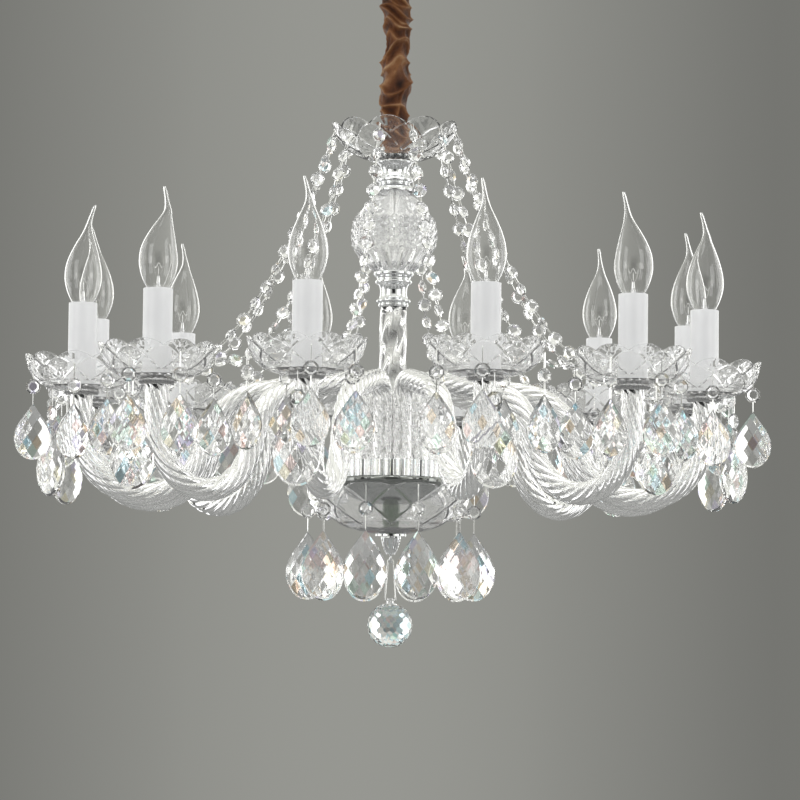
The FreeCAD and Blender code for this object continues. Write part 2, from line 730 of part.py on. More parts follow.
def radius_at(profile, height):
    """The outside radius of a dish at a height above its foot."""
    for (low_rad, low), (high_rad, high) in zip(profile, profile[1:]):
        if low <= height <= high:
            return low_rad + (high_rad - low_rad) * (height - low) / (high - low)
    raise ValueError("the height is outside the dish")


def height_at(profile, radius):
    """The height of the outside of a dish at a radius, over its foot."""
    (low_rad, low), (high_rad, high) = profile[0], profile[1]
    return low + (high - low) * (radius - low_rad) / (high_rad - low_rad)


def make_drip_dishes():
    dish = scalloped_dish(drip_profile(), read("drip_wall"), read("drip_floor"),
                          clear_of(read("spigot_rad") + read("slip"), 8),
                          read("scallop_drop"), read("scallop_in"))
    return group("drip_dishes", [placed(dish, place) for place in arm_ends()])


def make_candles():
    """White candle tubes that stand on the floors of the dishes."""
    outer, wall, length = read("candle_rad"), read("candle_wall"), read("candle_length")
    sides = 10
    tube = cut_solid([ring(outer - wall, 0, sides), ring(outer, 0, sides), ring(outer, length, sides),
                      ring(outer - wall, length, sides)], bored=True)
    return group("candle_tubes",
                 [placed(tube, place) for place in arm_ends(read("drip_floor"))])


def make_holders():
    """Lamp holders inside the candle tubes, each on a spigot."""
    rad = CANDLE_BORE.value - read("holder_gap")
    length, cup = read("holder_length"), read("holder_cup")
    bore = clear_of(read("bulb_base_rad") + read("slip"), 8)
    holder = cut_solid([ring(rad, 0, 8), ring(rad, length, 8), ring(bore, length, 8),
                        ring(bore, length - cup, 8)])
    return group("lamp_holders", [placed(holder, place) for place in arm_ends(read("spigot_length"))])


def make_bulbs():
    """Flame bulbs with long tails. Each turns in its own holder."""
    base, rad, neck = read("bulb_base_rad"), read("bulb_rad"), CANDLE_BORE.value - read("bulb_gap")
    foot, length, belly = read("bulb_base_length"), read("bulb_length"), read("bulb_belly")
    bulb = polygon_turning([
        (base, 0), (base, foot), (neck, foot + 4), (rad, foot + belly),
        (rad * 0.82, foot + belly * 1.5), (rad * 0.32, foot + length * 0.71),
        (rad * 0.08, foot + length)], 8)
    lift = (read("spigot_length") + read("holder_length") - read("holder_cup") + read("slip"))
    return [feature(f"bulb_{number:02d}", bulb, place)
            for number, place in enumerate(arm_ends(lift), start=1)]


# Hanging crystals ---------------------------------------------------------------------------

def make_bead():
    """An octagon bead that faces +X, pointed on both faces."""
    points = ring(read("bead_rad"), 0, 8, 22.5)
    outline = [Vector(0, point.x, point.y) for point in points]
    half = read("bead_thick") / 2
    return point_to_point(outline, (Vector(half, 0, 0), Vector(-half, 0, 0)))


def make_drop(length, width, sides):
    """A pear drop that faces +X, pointed on both faces, with its tip at the origin."""
    outline = []
    for index in range(sides):
        turn = 2 * math.pi * index / sides
        share = (1 - math.cos(turn)) / 2
        half = width * math.sin(turn) * (0.203 + 0.489 * share)  # at most half the width
        outline.append(Vector(0, half, -length * share))
    half_thick, belly = read("drop_thick") / 2, -length * 0.6
    return point_to_point(outline, (Vector(half_thick, 0, belly), Vector(-half_thick, 0, belly)))


def strand(bead, drop, pins):
    """One hanging strand from the origin down: a pin, a bead, a pin and a drop."""
    rad, bead_rad = read("pin_rad"), read("bead_rad") * math.cos(math.pi / 8)
    first, second = pins
    bead_z = -first - bead_rad
    drop_z = bead_z - bead_rad - second
    return [bar(Vector(0, 0, 0), Vector(0, 0, -first), rad), placed(bead, at(z=bead_z)),
            bar(Vector(0, 0, bead_z - bead_rad), Vector(0, 0, drop_z), rad),
            placed(drop, at(z=drop_z))]


def sorted_strands(prefix, strands):
    """The strands' pieces in three groups: pins, beads and drops."""
    return [
        group(f"{prefix}_pins", [piece for pieces in strands for piece in (pieces[0], pieces[2])]),
        group(f"{prefix}_beads", [pieces[1] for pieces in strands]),
        group(f"{prefix}_drops", [pieces[3] for pieces in strands]),
    ]


def make_rim_strands(bead):
    """Five strands round the rim of each drip dish."""
    drop = make_drop(read("small_drop_length"), read("small_drop_width"), 8)
    pieces = strand(bead, drop, (read("rim_pin"), read("drop_pin")))
    height = read("drip_depth") - read("rim_hang")
    reach = radius_at(drip_profile(), height) + read("pin_rad") + read("hang_gap")
    strands = []
    for end in arm_ends():
        for angle in RIM_ANGLES:
            place = end.multiply(at(turn=angle)).multiply(at(x=reach, z=height))
            strands.append([placed(piece, place) for piece in pieces])
    return sorted_strands("rim", strands)


def make_large_pendants(bead):
    """A larger strand under the outer side of each dish, free to swing."""
    drop = make_drop(read("large_drop_length"), read("large_drop_width"), 10)
    pieces = strand(bead, drop, (read("inner_pin"), read("inner_drop_pin")))
    tipping = 0.2 * read("pin_rad")  # the top of the pin rises at one side as it swings
    height = (height_at(drip_profile(), read("inner_hang") - read("pin_rad"))
              - read("hang_gap") - tipping)
    pendant = Part.makeCompound(pieces)
    under_dish = at(x=read("inner_hang"), z=height)
    return [feature(f"large_pendant_{number:02d}", pendant, end.multiply(under_dish))
            for number, end in enumerate(arm_ends(), start=1)]


def make_hub_strands(bead):
    """Large strands round the rim of the bottom dish."""
    drop = make_drop(read("large_drop_length"), read("large_drop_width"), 10)
    pieces = strand(bead, drop, (read("hub_pin"), read("hub_drop_pin")))
    depth, rad = read("bottom_dish_depth"), read("bottom_dish_rad")
    height = depth - read("hub_hang")
    profile = [(rad * 0.83, depth * 0.5), (rad, depth)]
    reach = radius_at(profile, height) + read("pin_rad") + read("hang_gap")
    places = around(HUB_DROPS, 0, reach, BOTTOM_DISH_Z.value + height)
    return sorted_strands("hub", [[placed(piece, place) for piece in pieces] for place in places])


# Assembly -----------------------------------------------------------------------------------

def make_all():
    """Every sub-part of the assembly, from the ceiling down and outwards."""
    bead = make_bead()
    return [
        make_bracket(), make_canopy(), make_nuts(), make_canopy_loop(), make_chain(),
        make_quick_link(), make_sleeve(), make_top_ring(),
        cylinder("centre_rod", size("rod_rad"), BARREL_Z + size("rod_grip") - ROD_Z, ROD_Z),
        make_top_dish(), make_upper_spool(), make_glass_ball(), make_lower_spool(), make_column(),
        make_hub(),
        turned("hub_plate", PLATE_Z,
               tube_outline(HUB_RAD + size("plate_lip"), BORE, size("plate_thick"))),
        make_spacer(), make_bottom_dish(), make_finial(), make_bail(), make_drop_ball(),
        make_arms(), make_cups(), make_drip_dishes(), make_candles(), make_holders(),
        *make_bulbs(), *make_rim_strands(bead), *make_large_pendants(bead),
        *make_hub_strands(bead)]


def check(parts):
    failed = [item.Label for item in document.Objects if {"Invalid", "Error"} & set(item.State)]
    failed += [item.Label for item in parts
               if item.Shape.isNull() or not item.Shape.isValid() or item.Shape.Volume <= 0]
    if failed:
        raise SystemExit(f"failed: {failed}")


def write(parts):
    os.makedirs("parts", exist_ok=True)
    for item in parts:
        item.Shape.exportStep(f"parts/{item.Label}.step")


all_parts = make_all()
document.recompute()
check(all_parts)
write(all_parts)
print(len(all_parts), "sub-parts,", sum(len(item.Shape.Solids) for item in all_parts), "solids")
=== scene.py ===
import math

import bmesh
import bpy
import numpy as np
from mathutils import Matrix, Vector


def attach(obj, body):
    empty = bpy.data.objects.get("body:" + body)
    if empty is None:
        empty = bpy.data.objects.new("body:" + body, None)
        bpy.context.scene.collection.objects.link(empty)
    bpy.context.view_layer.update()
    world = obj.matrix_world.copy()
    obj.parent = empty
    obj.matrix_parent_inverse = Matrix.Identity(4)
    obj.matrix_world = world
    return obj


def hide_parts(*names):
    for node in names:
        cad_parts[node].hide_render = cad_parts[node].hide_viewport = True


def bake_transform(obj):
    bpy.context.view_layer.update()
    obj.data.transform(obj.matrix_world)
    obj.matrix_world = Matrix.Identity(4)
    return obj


# Looks of the crystal chandelier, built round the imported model. Shapes are worked out in
# millimetres in the model's own frame, +Z up and the front at -Y, and stored in metres.

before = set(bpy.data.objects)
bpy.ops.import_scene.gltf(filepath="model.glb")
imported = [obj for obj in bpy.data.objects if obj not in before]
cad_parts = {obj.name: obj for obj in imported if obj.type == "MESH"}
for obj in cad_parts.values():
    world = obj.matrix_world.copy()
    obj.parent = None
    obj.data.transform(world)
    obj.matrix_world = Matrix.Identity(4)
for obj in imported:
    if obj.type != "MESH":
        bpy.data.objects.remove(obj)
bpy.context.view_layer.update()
RANDOM = np.random.default_rng(5)
MM = 0.001

# Heights of the model's pieces, in mm from the ceiling. Each is the piece's lower end. The
# eye's and the bail's are the lowest and the highest place of the middle of their wires.
TOP_DISH, UPPER_SPOOL, BALL, LOWER_SPOOL, COLUMN = -225.0, -254.6, -329.6, -362.8, -520.0
HUB, PLATE, BOTTOM_DISH, FINIAL, EYE, BAIL = -523.0, -527.0, -575.0, -594.0, -600.9, -598.5
DRIP = -450.0
BORE = 4.8  # radius of the holes that pass the centre rod
REACH = 294.0  # from the middle to the end of an arm
ARMS, FIRST_ARM = 12, 15.0
STEP = 360 / ARMS


# Points and placements ---

def spun(angle):
    """A turn about Z, in degrees."""
    return np.array(Matrix.Rotation(math.radians(angle), 4, "Z"))


def moved(x=0.0, y=0.0, z=0.0):
    """A shift in mm."""
    return np.array(Matrix.Translation((x, y, z)))


def arm_place(number):
    """Where the foot of a drip dish stands, with +X pointing away from the column."""
    return spun(FIRST_ARM + STEP * number) @ moved(REACH, 0, DRIP)


def on_arms(form, lift=0.0):
    """A copy of the form at the end of each arm."""
    return joined([form.put(arm_place(n) @ moved(z=lift)) for n in range(ARMS)])


def flowing(points, steps):
    """A smooth curve through the points."""
    points = np.array(points, float)
    ends = np.vstack([2 * points[0] - points[1], points, 2 * points[-1] - points[-2]])
    out = []
    for a, b, c, d in zip(ends, ends[1:], ends[2:], ends[3:]):
        for t in np.arange(steps) / steps:
            out.append(0.5 * (2 * b + (c - a) * t + (2 * a - 5 * b + 4 * c - d) * t ** 2
                              + (3 * b - a - 3 * c + d) * t ** 3))
    return np.array(out + [points[-1]])


def rounded(outline, size, steps=3):
    """A closed outline with every corner worn to a short curve."""
    outline = np.array(outline, float)
    out = []
    for index, corner in enumerate(outline):
        before, after = outline[index - 1] - corner, outline[(index + 1) % len(outline)] - corner
        reach = min(size, 0.45 * np.linalg.norm(before), 0.45 * np.linalg.norm(after))
        start = corner + before / np.linalg.norm(before) * reach
        end = corner + after / np.linalg.norm(after) * reach
        for t in np.arange(steps + 1) / steps:
            out.append((1 - t) ** 2 * start + 2 * t * (1 - t) * corner + t * t * end)
    return np.array(out)


class Form:
    """Points in mm with the faces over them."""

    def __init__(self, points, faces):
        self.points, self.faces = np.array(points, float), faces

    def put(self, place):
        """The same form at another place."""
        return Form(self.points @ place[:3, :3].T + place[:3, 3], self.faces)


def joined(forms):
    """One form made of several."""
    points, faces, start = [], [], 0
    for form in forms:
        points.append(form.points)
        faces += [tuple(index + start for index in face) for face in form.faces]
        start += len(form.points)
    return Form(np.vstack(points), faces)


def skin(rings, loop=False, ends=False, lean=None):
    """Faces over rings of points. lean gives the side of each split quad, or none is split."""
    rings = np.asarray(rings, float)
    levels, sides = rings.shape[:2]
    faces = []
    for level in range(levels if loop else levels - 1):
        low, high = level * sides, (level + 1) % levels * sides
        for index in range(sides):
            after = (index + 1) % sides
            a, b, c, d = low + index, low + after, high + after, high + index
            if lean is None:
                faces.append((a, b, c, d))
            elif lean(index, level):
                faces += [(a, b, c), (a, c, d)]
            else:
                faces += [(a, b, d), (b, c, d)]
    if ends:
        faces += [tuple(range(sides))[::-1], tuple(range((levels - 1) * sides, levels * sides))]
    return Form(rings.reshape(-1, 3), faces)


def ring(radius, height, sides, turn=0.0):
    """Points round the Z axis. The radius and the height may differ from point to point."""
    angle = np.arange(sides) / sides * 2 * np.pi + math.radians(turn)
    height = np.broadcast_to(height, angle.shape)
    return np.stack([radius * np.cos(angle), radius * np.sin(angle), height], axis=1)


def turned(outline, sides=64, rounding=0.5, steps=2):
    """A closed outline of (radius, height) turned round the Z axis."""
    return skin([ring(r, z, sides) for r, z in rounded(outline, rounding, steps)], loop=True)


def tube(path, radius, sides=6, closed=False):
    """Wire along points. The radius may change along it."""
    path = np.array(path, float)
    radius = np.broadcast_to(radius, len(path))
    if closed:
        tangents = np.roll(path, -1, 0) - np.roll(path, 1, 0)
    else:
        tangents = np.gradient(path, axis=0)
    tangents /= np.linalg.norm(tangents, axis=1)[:, None]
    side = np.cross(tangents[0], (0.31, 0.9, 0.3))
    angle = np.arange(sides) / sides * 2 * np.pi
    rings = []
    for middle, along, wide in zip(path, tangents, radius):
        side = side - along * (side @ along)
        side /= np.linalg.norm(side)
        other = np.cross(along, side)
        round_it = np.outer(np.cos(angle), side) + np.outer(np.sin(angle), other)
        rings.append(middle + wide * round_it)
    return skin(rings, loop=closed, ends=not closed)


def gem(planes, block=200.0):
    """A convex crystal: what planes, each a direction and its distance, leave of a block."""
    mesh = bmesh.new()
    bmesh.ops.create_cube(mesh, size=block)
    for normal, distance in planes:
        normal = Vector(normal).normalized()
        cut = bmesh.ops.bisect_plane(mesh, geom=mesh.verts[:] + mesh.edges[:] + mesh.faces[:],
                                     dist=1e-4, plane_co=normal * distance, plane_no=normal,
                                     clear_outer=True)
        edges = [item for item in cut["geom_cut"] if isinstance(item, bmesh.types.BMEdge)]
        if len(edges) > 2:
            bmesh.ops.contextual_create(mesh, geom=edges)
    bmesh.ops.remove_doubles(mesh, verts=mesh.verts[:], dist=0.02)
    bmesh.ops.recalc_face_normals(mesh, faces=mesh.faces[:])
    mesh.verts.index_update()
    form = Form([vert.co[:] for vert in mesh.verts],
                [tuple(vert.index for vert in face.verts) for face in mesh.faces])
    mesh.free()
    return form


# Materials ---

def feed(tree, node, inputs):
    """Gives a node's inputs their values, or links them to outputs of other nodes."""
    for key, value in inputs.items():
        if isinstance(value, bpy.types.NodeSocket):
            tree.links.new(value, node.inputs[key])
        else:
            node.inputs[key].default_value = value


def add_node(tree, kind, inputs=None, **settings):
    node = tree.nodes.new(kind)
    for key, value in settings.items():
        setattr(node, key, value)
    feed(tree, node, inputs or {})
    return node


def add_ramp(tree, source, stops):
    """Colours of the source, each stop a place and its colour."""
    node = add_node(tree, "ShaderNodeValToRGB", {"Fac": source})
    elements = node.color_ramp.elements
    while len(elements) < len(stops):
        elements.new(0.5)
    for element, (place, colour) in zip(elements, stops):
        element.position, element.color = place, (*colour, 1)
    return node.outputs["Color"]


class Nodes:
    """A material's nodes, made one by one."""

    def __init__(self, name):
        self.material = bpy.data.materials.new(name)
        self.material.use_nodes = True
        self.tree = self.material.node_tree
        self.place = self.add("ShaderNodeTexCoord").outputs["Object"]

    def add(self, kind, inputs=None, **settings):
        return add_node(self.tree, kind, inputs, **settings)

    def set(self, **inputs):
        """Feeds the surface. The names of its inputs have _ for a space."""
        feed(self.tree, self.tree.nodes["Principled BSDF"],
             {key.replace("_", " "): value for key, value in inputs.items()})

    def noise(self, scale, detail, rough=0.5, squeeze=None):
        """Clouds from about 0.3 to 0.7, closer together along an axis that is squeezed."""
        source = self.place
        if squeeze:
            source = self.add("ShaderNodeMapping", {"Vector": source, "Scale": squeeze}).outputs[0]
        return self.add("ShaderNodeTexNoise", {"Vector": source, "Scale": scale, "Detail": detail,
                                               "Roughness": rough}).outputs["Fac"]

    def spread(self, clouds, low, high):
        """Noise stretched from low to high."""
        return self.add("ShaderNodeMapRange", {
            "Value": clouds, "From Min": 0.3, "From Max": 0.7, "To Min": low,
            "To Max": high}).outputs["Result"]

    def ramp(self, source, *stops):
        return add_ramp(self.tree, source, stops)

    def plus(self, source, factor, other):
        """The source times the factor, plus the other."""
        return self.add("ShaderNodeMath", {0: source, 1: factor, 2: other},
                        operation="MULTIPLY_ADD").outputs[0]

    def bump(self, source, strength, distance):
        self.set(Normal=self.add("ShaderNodeBump", {
            "Height": source, "Strength": strength, "Distance": distance}).outputs["Normal"])


def metal(name, colour, low, high, bump=0.0, scale=900):
    """Plated metal with faint wipe marks."""
    nodes = Nodes(name)
    dark = tuple(0.9 * value for value in colour)
    wipes = nodes.noise(scale, 2, squeeze=(1, 1, 0.15))
    nodes.set(Metallic=1.0, Base_Color=nodes.ramp(nodes.noise(60, 3), (0.35, dark), (0.6, colour)),
              Roughness=nodes.spread(wipes, low, high))
    if bump:
        nodes.bump(nodes.noise(scale * 0.4, 2), bump, 0.0003)
    return nodes.material


def glass(name, ior, low, high, ripple, scale, clear, grey=1.0):
    """Glass whose surface has faint ripples and a trace of haze. The rest of clear is milky."""
    nodes = Nodes(name)
    nodes.set(IOR=ior, Transmission_Weight=clear, Base_Color=(grey, grey, grey, 1),
              Roughness=nodes.spread(nodes.noise(scale * 2, 2), low, high))
    nodes.bump(nodes.noise(scale, 2), ripple, 0.0004)
    return nodes.material


def fire_glass(name):
    """Cut crystal. Some facets are painted with soft spectral tints, a painted fire that stands in
    for the colours dispersion gives.
    """
    nodes = Nodes(name)
    painted_fire_tint = nodes.add("ShaderNodeAttribute", attribute_name="painted_fire_tint").outputs["Color"]
    nodes.set(IOR=1.58, Transmission_Weight=0.97, Base_Color=painted_fire_tint,
              Roughness=nodes.spread(nodes.noise(300, 1), 0.0, 0.012))
    return nodes.material


def satin():
    """Brown satin with a fine weave. Its colour is painted light along the crests of its folds as a
    painted highlight, and painted dark in the hollows as painted shade.
    """
    nodes = Nodes("sleeve_satin")
    painted_crest_light = nodes.add("ShaderNodeAttribute", attribute_name="painted_crest_light").outputs["Fac"]
    # random mottling plus painted light: the crest value paints the colour lighter along fold
    # crests and darker in the hollows
    mottle_and_crest_light = nodes.plus(nodes.noise(60, 5, 0.65), 0.7, nodes.plus(painted_crest_light, 0.55, 0.0))
    shade = nodes.ramp(mottle_and_crest_light, (0.26, (0.02, 0.005, 0.001)), (0.46, (0.085, 0.025, 0.007)),
                       (0.68, (0.17, 0.058, 0.017)), (0.82, (0.3, 0.13, 0.048)),
                       (0.98, (0.58, 0.36, 0.19)))
    nodes.set(Base_Color=shade, Roughness=nodes.spread(nodes.noise(220, 2), 0.36, 0.52),
              Sheen_Weight=0.06, Sheen_Roughness=0.3, Specular_IOR_Level=0.3,
              Sheen_Tint=(1.0, 0.6, 0.35, 1))
    weave = nodes.add("ShaderNodeTexWave", {"Vector": nodes.place, "Scale": 900,
                                            "Distortion": 1.5},
                      wave_type="BANDS", bands_direction="DIAGONAL").outputs["Fac"]
    puckers = nodes.noise(120, 5, 0.65, squeeze=(1, 1, 2.2))
    nodes.bump(nodes.plus(weave, 0.12, puckers), 0.9, 0.003)
    return nodes.material


def plastic(name, colour, shaded, low, high):
    """Glossy moulded plastic, a shade darker in places."""
    nodes = Nodes(name)
    nodes.set(Base_Color=nodes.ramp(nodes.noise(35, 2), (0.3, shaded), (0.7, colour)),
              Roughness=nodes.spread(nodes.noise(240, 2), low, high))
    nodes.bump(nodes.noise(90, 2), 0.05, 0.0003)
    return nodes.material


CHROME = metal("bright_chrome", (0.9, 0.91, 0.92), 0.03, 0.07)
DARK_CHROME = metal("dark_chrome", (0.5, 0.5, 0.505), 0.06, 0.14, 0.1)
# the hub plate's bright chrome given a dark colour: a painted dark reflection
PAINTED_DARK_CHROME = metal("chrome_painted_dark", (0.3, 0.31, 0.3), 0.02, 0.06)
STEEL = metal("zinc_steel", (0.62, 0.62, 0.6), 0.22, 0.38, 0.3)
WIRE = metal("pin_wire", (0.93, 0.93, 0.92), 0.1, 0.18)
SATIN = satin()
CAST_GLASS = glass("cast_glass", 1.5, 0.0, 0.02, 0.12, 90, 0.94)
THIN_GLASS = glass("thin_glass", 1.5, 0.0, 0.01, 0.1, 90, 0.985)
HAZY_GLASS = glass("hazy_glass", 1.5, 0.02, 0.09, 0.3, 260, 0.93)
ROPE_GLASS = glass("rope_glass", 1.5, 0.0, 0.03, 0.4, 110, 0.965, 0.95)
CRYSTAL = fire_glass("cut_crystal")
BULB_GLASS = glass("bulb_glass", 1.47, 0.0, 0.01, 0.05, 30, 1.0)
CANDLE = plastic("candle_white", (0.88, 0.88, 0.875), (0.84, 0.84, 0.84), 0.28, 0.36)
HOLDER = plastic("holder_plastic", (0.55, 0.55, 0.53), (0.45, 0.45, 0.44), 0.35, 0.5)
GREEN = plastic("green_plastic", (0.06, 0.1, 0.045), (0.04, 0.075, 0.03), 0.4, 0.5)
# the slot that each material belongs to
SLOTS = {CHROME: "bright_chrome", PAINTED_DARK_CHROME: "bright_chrome", DARK_CHROME: "dark_chrome",
         WIRE: "pin_wire", SATIN: "sleeve_fabric", CAST_GLASS: "clear_glass",
         THIN_GLASS: "clear_glass", HAZY_GLASS: "clear_glass", ROPE_GLASS: "clear_glass",
         CRYSTAL: "cut_crystal", BULB_GLASS: "bulb_glass", CANDLE: "candle_white"}
# painted fire: spectral colours painted on some crystal facets in place of dispersion
PAINTED_FIRE_TINTS = ((1.0, 0.78, 0.55), (0.55, 0.86, 1.0), (0.78, 0.72, 1.0), (1.0, 0.72, 0.68),
         (0.72, 1.0, 0.86), (1.0, 0.92, 0.66))


def add_object(name, data):
    thing = bpy.data.objects.new(name, data)
    bpy.context.scene.collection.objects.link(thing)
    return thing


def piece(name, form, material, *nodes, body="fixture", crease=35, painted_fire=0.0):
    """An object of the visual model, which rides on a body and may stand for CAD nodes.

    Edges sharper than the crease, in degrees, stay hard. Crystal has a share of its faces, given by
    the last argument, painted with spectral tints as painted fire.
    """
    mesh = bpy.data.meshes.new(name)
    mesh.from_pydata((form.points * MM).tolist(), [], form.faces)
    mesh.materials.append(material)
    if crease:
        mesh.shade_smooth()
        mesh.set_sharp_from_angle(angle=math.radians(crease))
    # painted fire: a random share of the crystal's faces gets spectral tints, standing in for
    # dispersion
    if material is CRYSTAL:
        count = len(mesh.polygons)
        colours = np.ones((count, 4))
        chosen = RANDOM.random(count) < painted_fire
        colours[chosen, :3] = np.array(PAINTED_FIRE_TINTS)[RANDOM.integers(len(PAINTED_FIRE_TINTS), size=chosen.sum())]
        painted_fire_tint = mesh.attributes.new("painted_fire_tint", "FLOAT_COLOR", "FACE")
        painted_fire_tint.data.foreach_set("color", colours.ravel())
    thing = add_object(name, mesh)
    # light passes the clear pieces
    thing.visible_shadow = "glass" not in SLOTS[material] and material is not CRYSTAL
    if body:
        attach(thing, body)
    if nodes:
        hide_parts(*nodes)
    return thing


# Ceiling fitting and chain ---

# pieces that keep the model's own shape and get a better surface
for node, material in (("ceiling_bracket", STEEL), ("canopy_nuts", STEEL), ("canopy_loop", CHROME),
                       ("chain_links", STEEL), ("quick_link", STEEL), ("centre_rod", STEEL),
                       ("bottom_spacer", GREEN), ("lamp_holders", HOLDER)):
    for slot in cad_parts[node].material_slots:
        slot.material = material


def make_canopy():
    """The ceiling cup, with a rolled lip."""
    outline = [(5.3, -45), (17, -45), (25, -44.2), (47, -30), (55, -14), (55, 0), (53.5, 0),
               (53.5, -13.6), (46, -28.6), (24.4, -42.7), (16.6, -43.5), (5.3, -43.5)]
    piece("canopy_cup", turned(outline, 96, 2.0, 4), CHROME, "canopy", body="ceiling")


def wire_ring(radius, height, steps, wire, sides):
    """A round ring that stands in the YZ plane."""
    angle = np.arange(steps) / steps * 2 * np.pi
    return tube(np.stack([0 * angle, radius * np.cos(angle), radius * np.sin(angle) + height],
                         axis=1), wire, sides, closed=True)


def make_top_ring():
    """Round ring on a barrel, from which the fixture hangs."""
    wire = wire_ring(8.5, -185.2, 32, 2.5, 12)
    barrel = turned([(BORE, -221), (8, -221), (8, -196.6), (6.4, -194.7), (0.01, -194.7),
                     (0.01, -200.4), (BORE, -200.4)], 48, 0.8)
    piece("hanging_ring", joined([wire, barrel]), CHROME, "top_ring")


# Sleeve ---

def ridge(value):
    """Sharp crests with round hollows between them, from 0 to 1."""
    return 1 - np.abs(np.sin(value))


def sleeve_skin(start, end, levels, sides=80):
    """Part of the gathered tube. The folds run round it aslant, bunched on the chain."""
    heights = np.linspace(start, end, levels)
    angle = np.arange(sides) / sides * 2 * np.pi
    z, a = np.meshgrid(heights, angle, indexing="ij")
    wander = 2.2 * np.sin(z / 21) + 1.4 * np.sin(z / 8.3 + 1)
    base = 12.3 + 1.7 * np.sin(z / 13.5 + 0.6) + 0.9 * np.sin(z / 6.1 + 2 * np.sin(a + z / 30))
    base += 1.6 * np.exp(-((z + 200) / 14) ** 2) + 1.5 * np.exp(-((z + 60) / 9) ** 2)
    base -= 3.6 * np.exp(-((z + 221) / 5) ** 2)
    first = ridge(z / 5.4 + 1.5 * np.sin(a + z / 17) + 0.8 * np.sin(2 * a - z / 9))
    second = ridge(z / 7.7 - 1.9 * np.sin(a + 2.0 + z / 23) + 0.6 * np.sin(3 * a))
    long_folds = ridge(2.5 * a + 0.9 * np.sin(z / 12) + z / 31)
    radius = base + 3.1 * first ** 2 + 2.3 * second ** 2 + 0.9 * long_folds ** 2 - 2.0
    x = radius * np.cos(a + 0.05 * wander) + 0.35 * wander
    y = radius * np.sin(a + 0.05 * wander) + 0.25 * wander * np.cos(z / 19)
    # how near each point lies to a fold crest, which paints highlight on the crests and shade in
    # the hollows
    painted_crest_light = np.maximum(np.maximum(first, 0.9 * second), 0.6 * long_folds)
    return np.stack([x, y, z], axis=2), painted_crest_light


def make_sleeve():
    """Two lengths of the sleeve, which meet edge to edge."""
    wall = 0.4
    for name, start, end, levels, bodies, joint in (
            ("sleeve_upper", -60, -112, 92, ("ceiling", "chain"), (-60, -78)),
            ("sleeve_lower", -112, -220.6, 190, ("chain", "quick_link"), (-148, -163))):
        outer, painted_crest_light = sleeve_skin(start, end, levels)
        middle = outer.mean(axis=1, keepdims=True)
        offset = outer - middle
        inner = middle + offset * (1 - wall / np.linalg.norm(offset, axis=2, keepdims=True))
        cloth = piece(name, skin(np.concatenate([outer, inner[::-1]]), loop=True), SATIN,
                      "chain_sleeve", body=None, crease=80)
        # stores the crest value on the cloth, which paints highlight along the fold crests and
        # shade in the hollows
        painted_light_layer = cloth.data.attributes.new("painted_crest_light", "FLOAT", "POINT")
        painted_light_layer.data.foreach_set("value", np.concatenate([painted_crest_light, painted_crest_light[::-1]]).ravel())
        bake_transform(cloth)


# Cut-glass dishes ---

SCALLOPS, PER_SCALLOP = 10, 16
DISH_WALL, DRIP_FLOOR = 2.4, 3.5


def cut_dish(profile, floor, bore, drop, crossing, star_cut=True):
    """A dish with a scalloped rim and wheel cuts: crossed grooves and a fan in each scallop.

    The profile is the outside, from the foot to the rim, which dips by the drop between two
    scallops. The crossed grooves fill the part of its length above the crossing share. A star
    cut marks the underside of the foot.
    """
    sides, band, inward = PER_SCALLOP * SCALLOPS, 16, 2
    groove, fan_cut, bar_cut, smile_cut = 1.1, 0.75, 0.6, 1.2
    across = np.arange(sides) % PER_SCALLOP / (PER_SCALLOP / 2)
    across = np.where(across > 1, across - 2, across)
    curve = flowing(profile, 12)
    length = np.r_[0, np.cumsum(np.linalg.norm(np.diff(curve, axis=0), axis=1))]
    low_shares = np.linspace(0, crossing, 7)[:-1]
    shares = np.r_[low_shares, np.linspace(crossing, 1, band + 1)]
    radius = np.interp(shares * length[-1], length, curve[:, 0])
    height = np.interp(shares * length[-1], length, curve[:, 1])
    outside = []
    for level, share in enumerate(shares):
        up = max(0.0, (share - crossing) / (1 - crossing))
        depth = np.zeros(sides)
        if up > 0:
            away = np.abs(np.abs(across) - abs(2 * up - 1)) * band / 2
            depth += groove * np.clip(1 - away, 0, 1)
            fan = 2 * up - 1 - np.abs(across)
            inside = fan > 0.1
            turn = across / np.maximum(2 * up - 1, 0.05)
            depth += np.where(inside, fan_cut * (1 - np.abs(np.sin(turn * 2.5 * np.pi))), 0)
            below = (1 - 2 * up) - np.abs(across)
            depth += np.where(below > 0.1, bar_cut * (np.sin(up * 24) > 0), 0)
        elif share > 0:
            smile = np.abs(share / crossing - 0.62 - 0.25 * across ** 2)
            depth += smile_cut * np.clip(1 - smile * 5, 0, 1)
        edge = up ** 1.5
        r = radius[level] - depth * (1 if up < 0.97 else 0.3) - inward * across ** 2 * edge
        outside.append(ring(r, height[level] - drop * across ** 2 * edge, sides))
    inner_radius, inner_height, inner = radius - DISH_WALL, height + DISH_WALL * 0.4, []
    for level in range(len(shares) - 1, 2, -3):
        edge = max(0.0, (shares[level] - crossing) / (1 - crossing)) ** 1.5
        z = np.maximum(inner_height[level] - DISH_WALL * 0.4 * edge, floor + 0.4)
        inner.append(ring(inner_radius[level] - inward * across ** 2 * edge,
                          z - drop * across ** 2 * edge, sides))
    foot, star = profile[0][0], 1 - np.abs(np.sin(np.arange(sides) * np.pi / 8))
    inner += [ring(foot - DISH_WALL, floor, sides), ring(bore, floor, sides), ring(bore, 0, sides)]
    if star_cut:
        inner += [ring(foot * share, lift * star, sides)
                  for share, lift in ((0.7, 0), (0.75, 1.1), (0.96, 1.3))]
    rings = np.array(outside + inner)
    count = len(outside)

    def lean(index, level):
        """Splits the quads along the crossed grooves."""
        rising = across[index] >= 0 and across[index] < 1
        upper = shares[min(level, count - 1)] >= crossing + (1 - crossing) * 0.5
        return level >= count or rising == upper

    return skin(rings, loop=True, lean=lean)


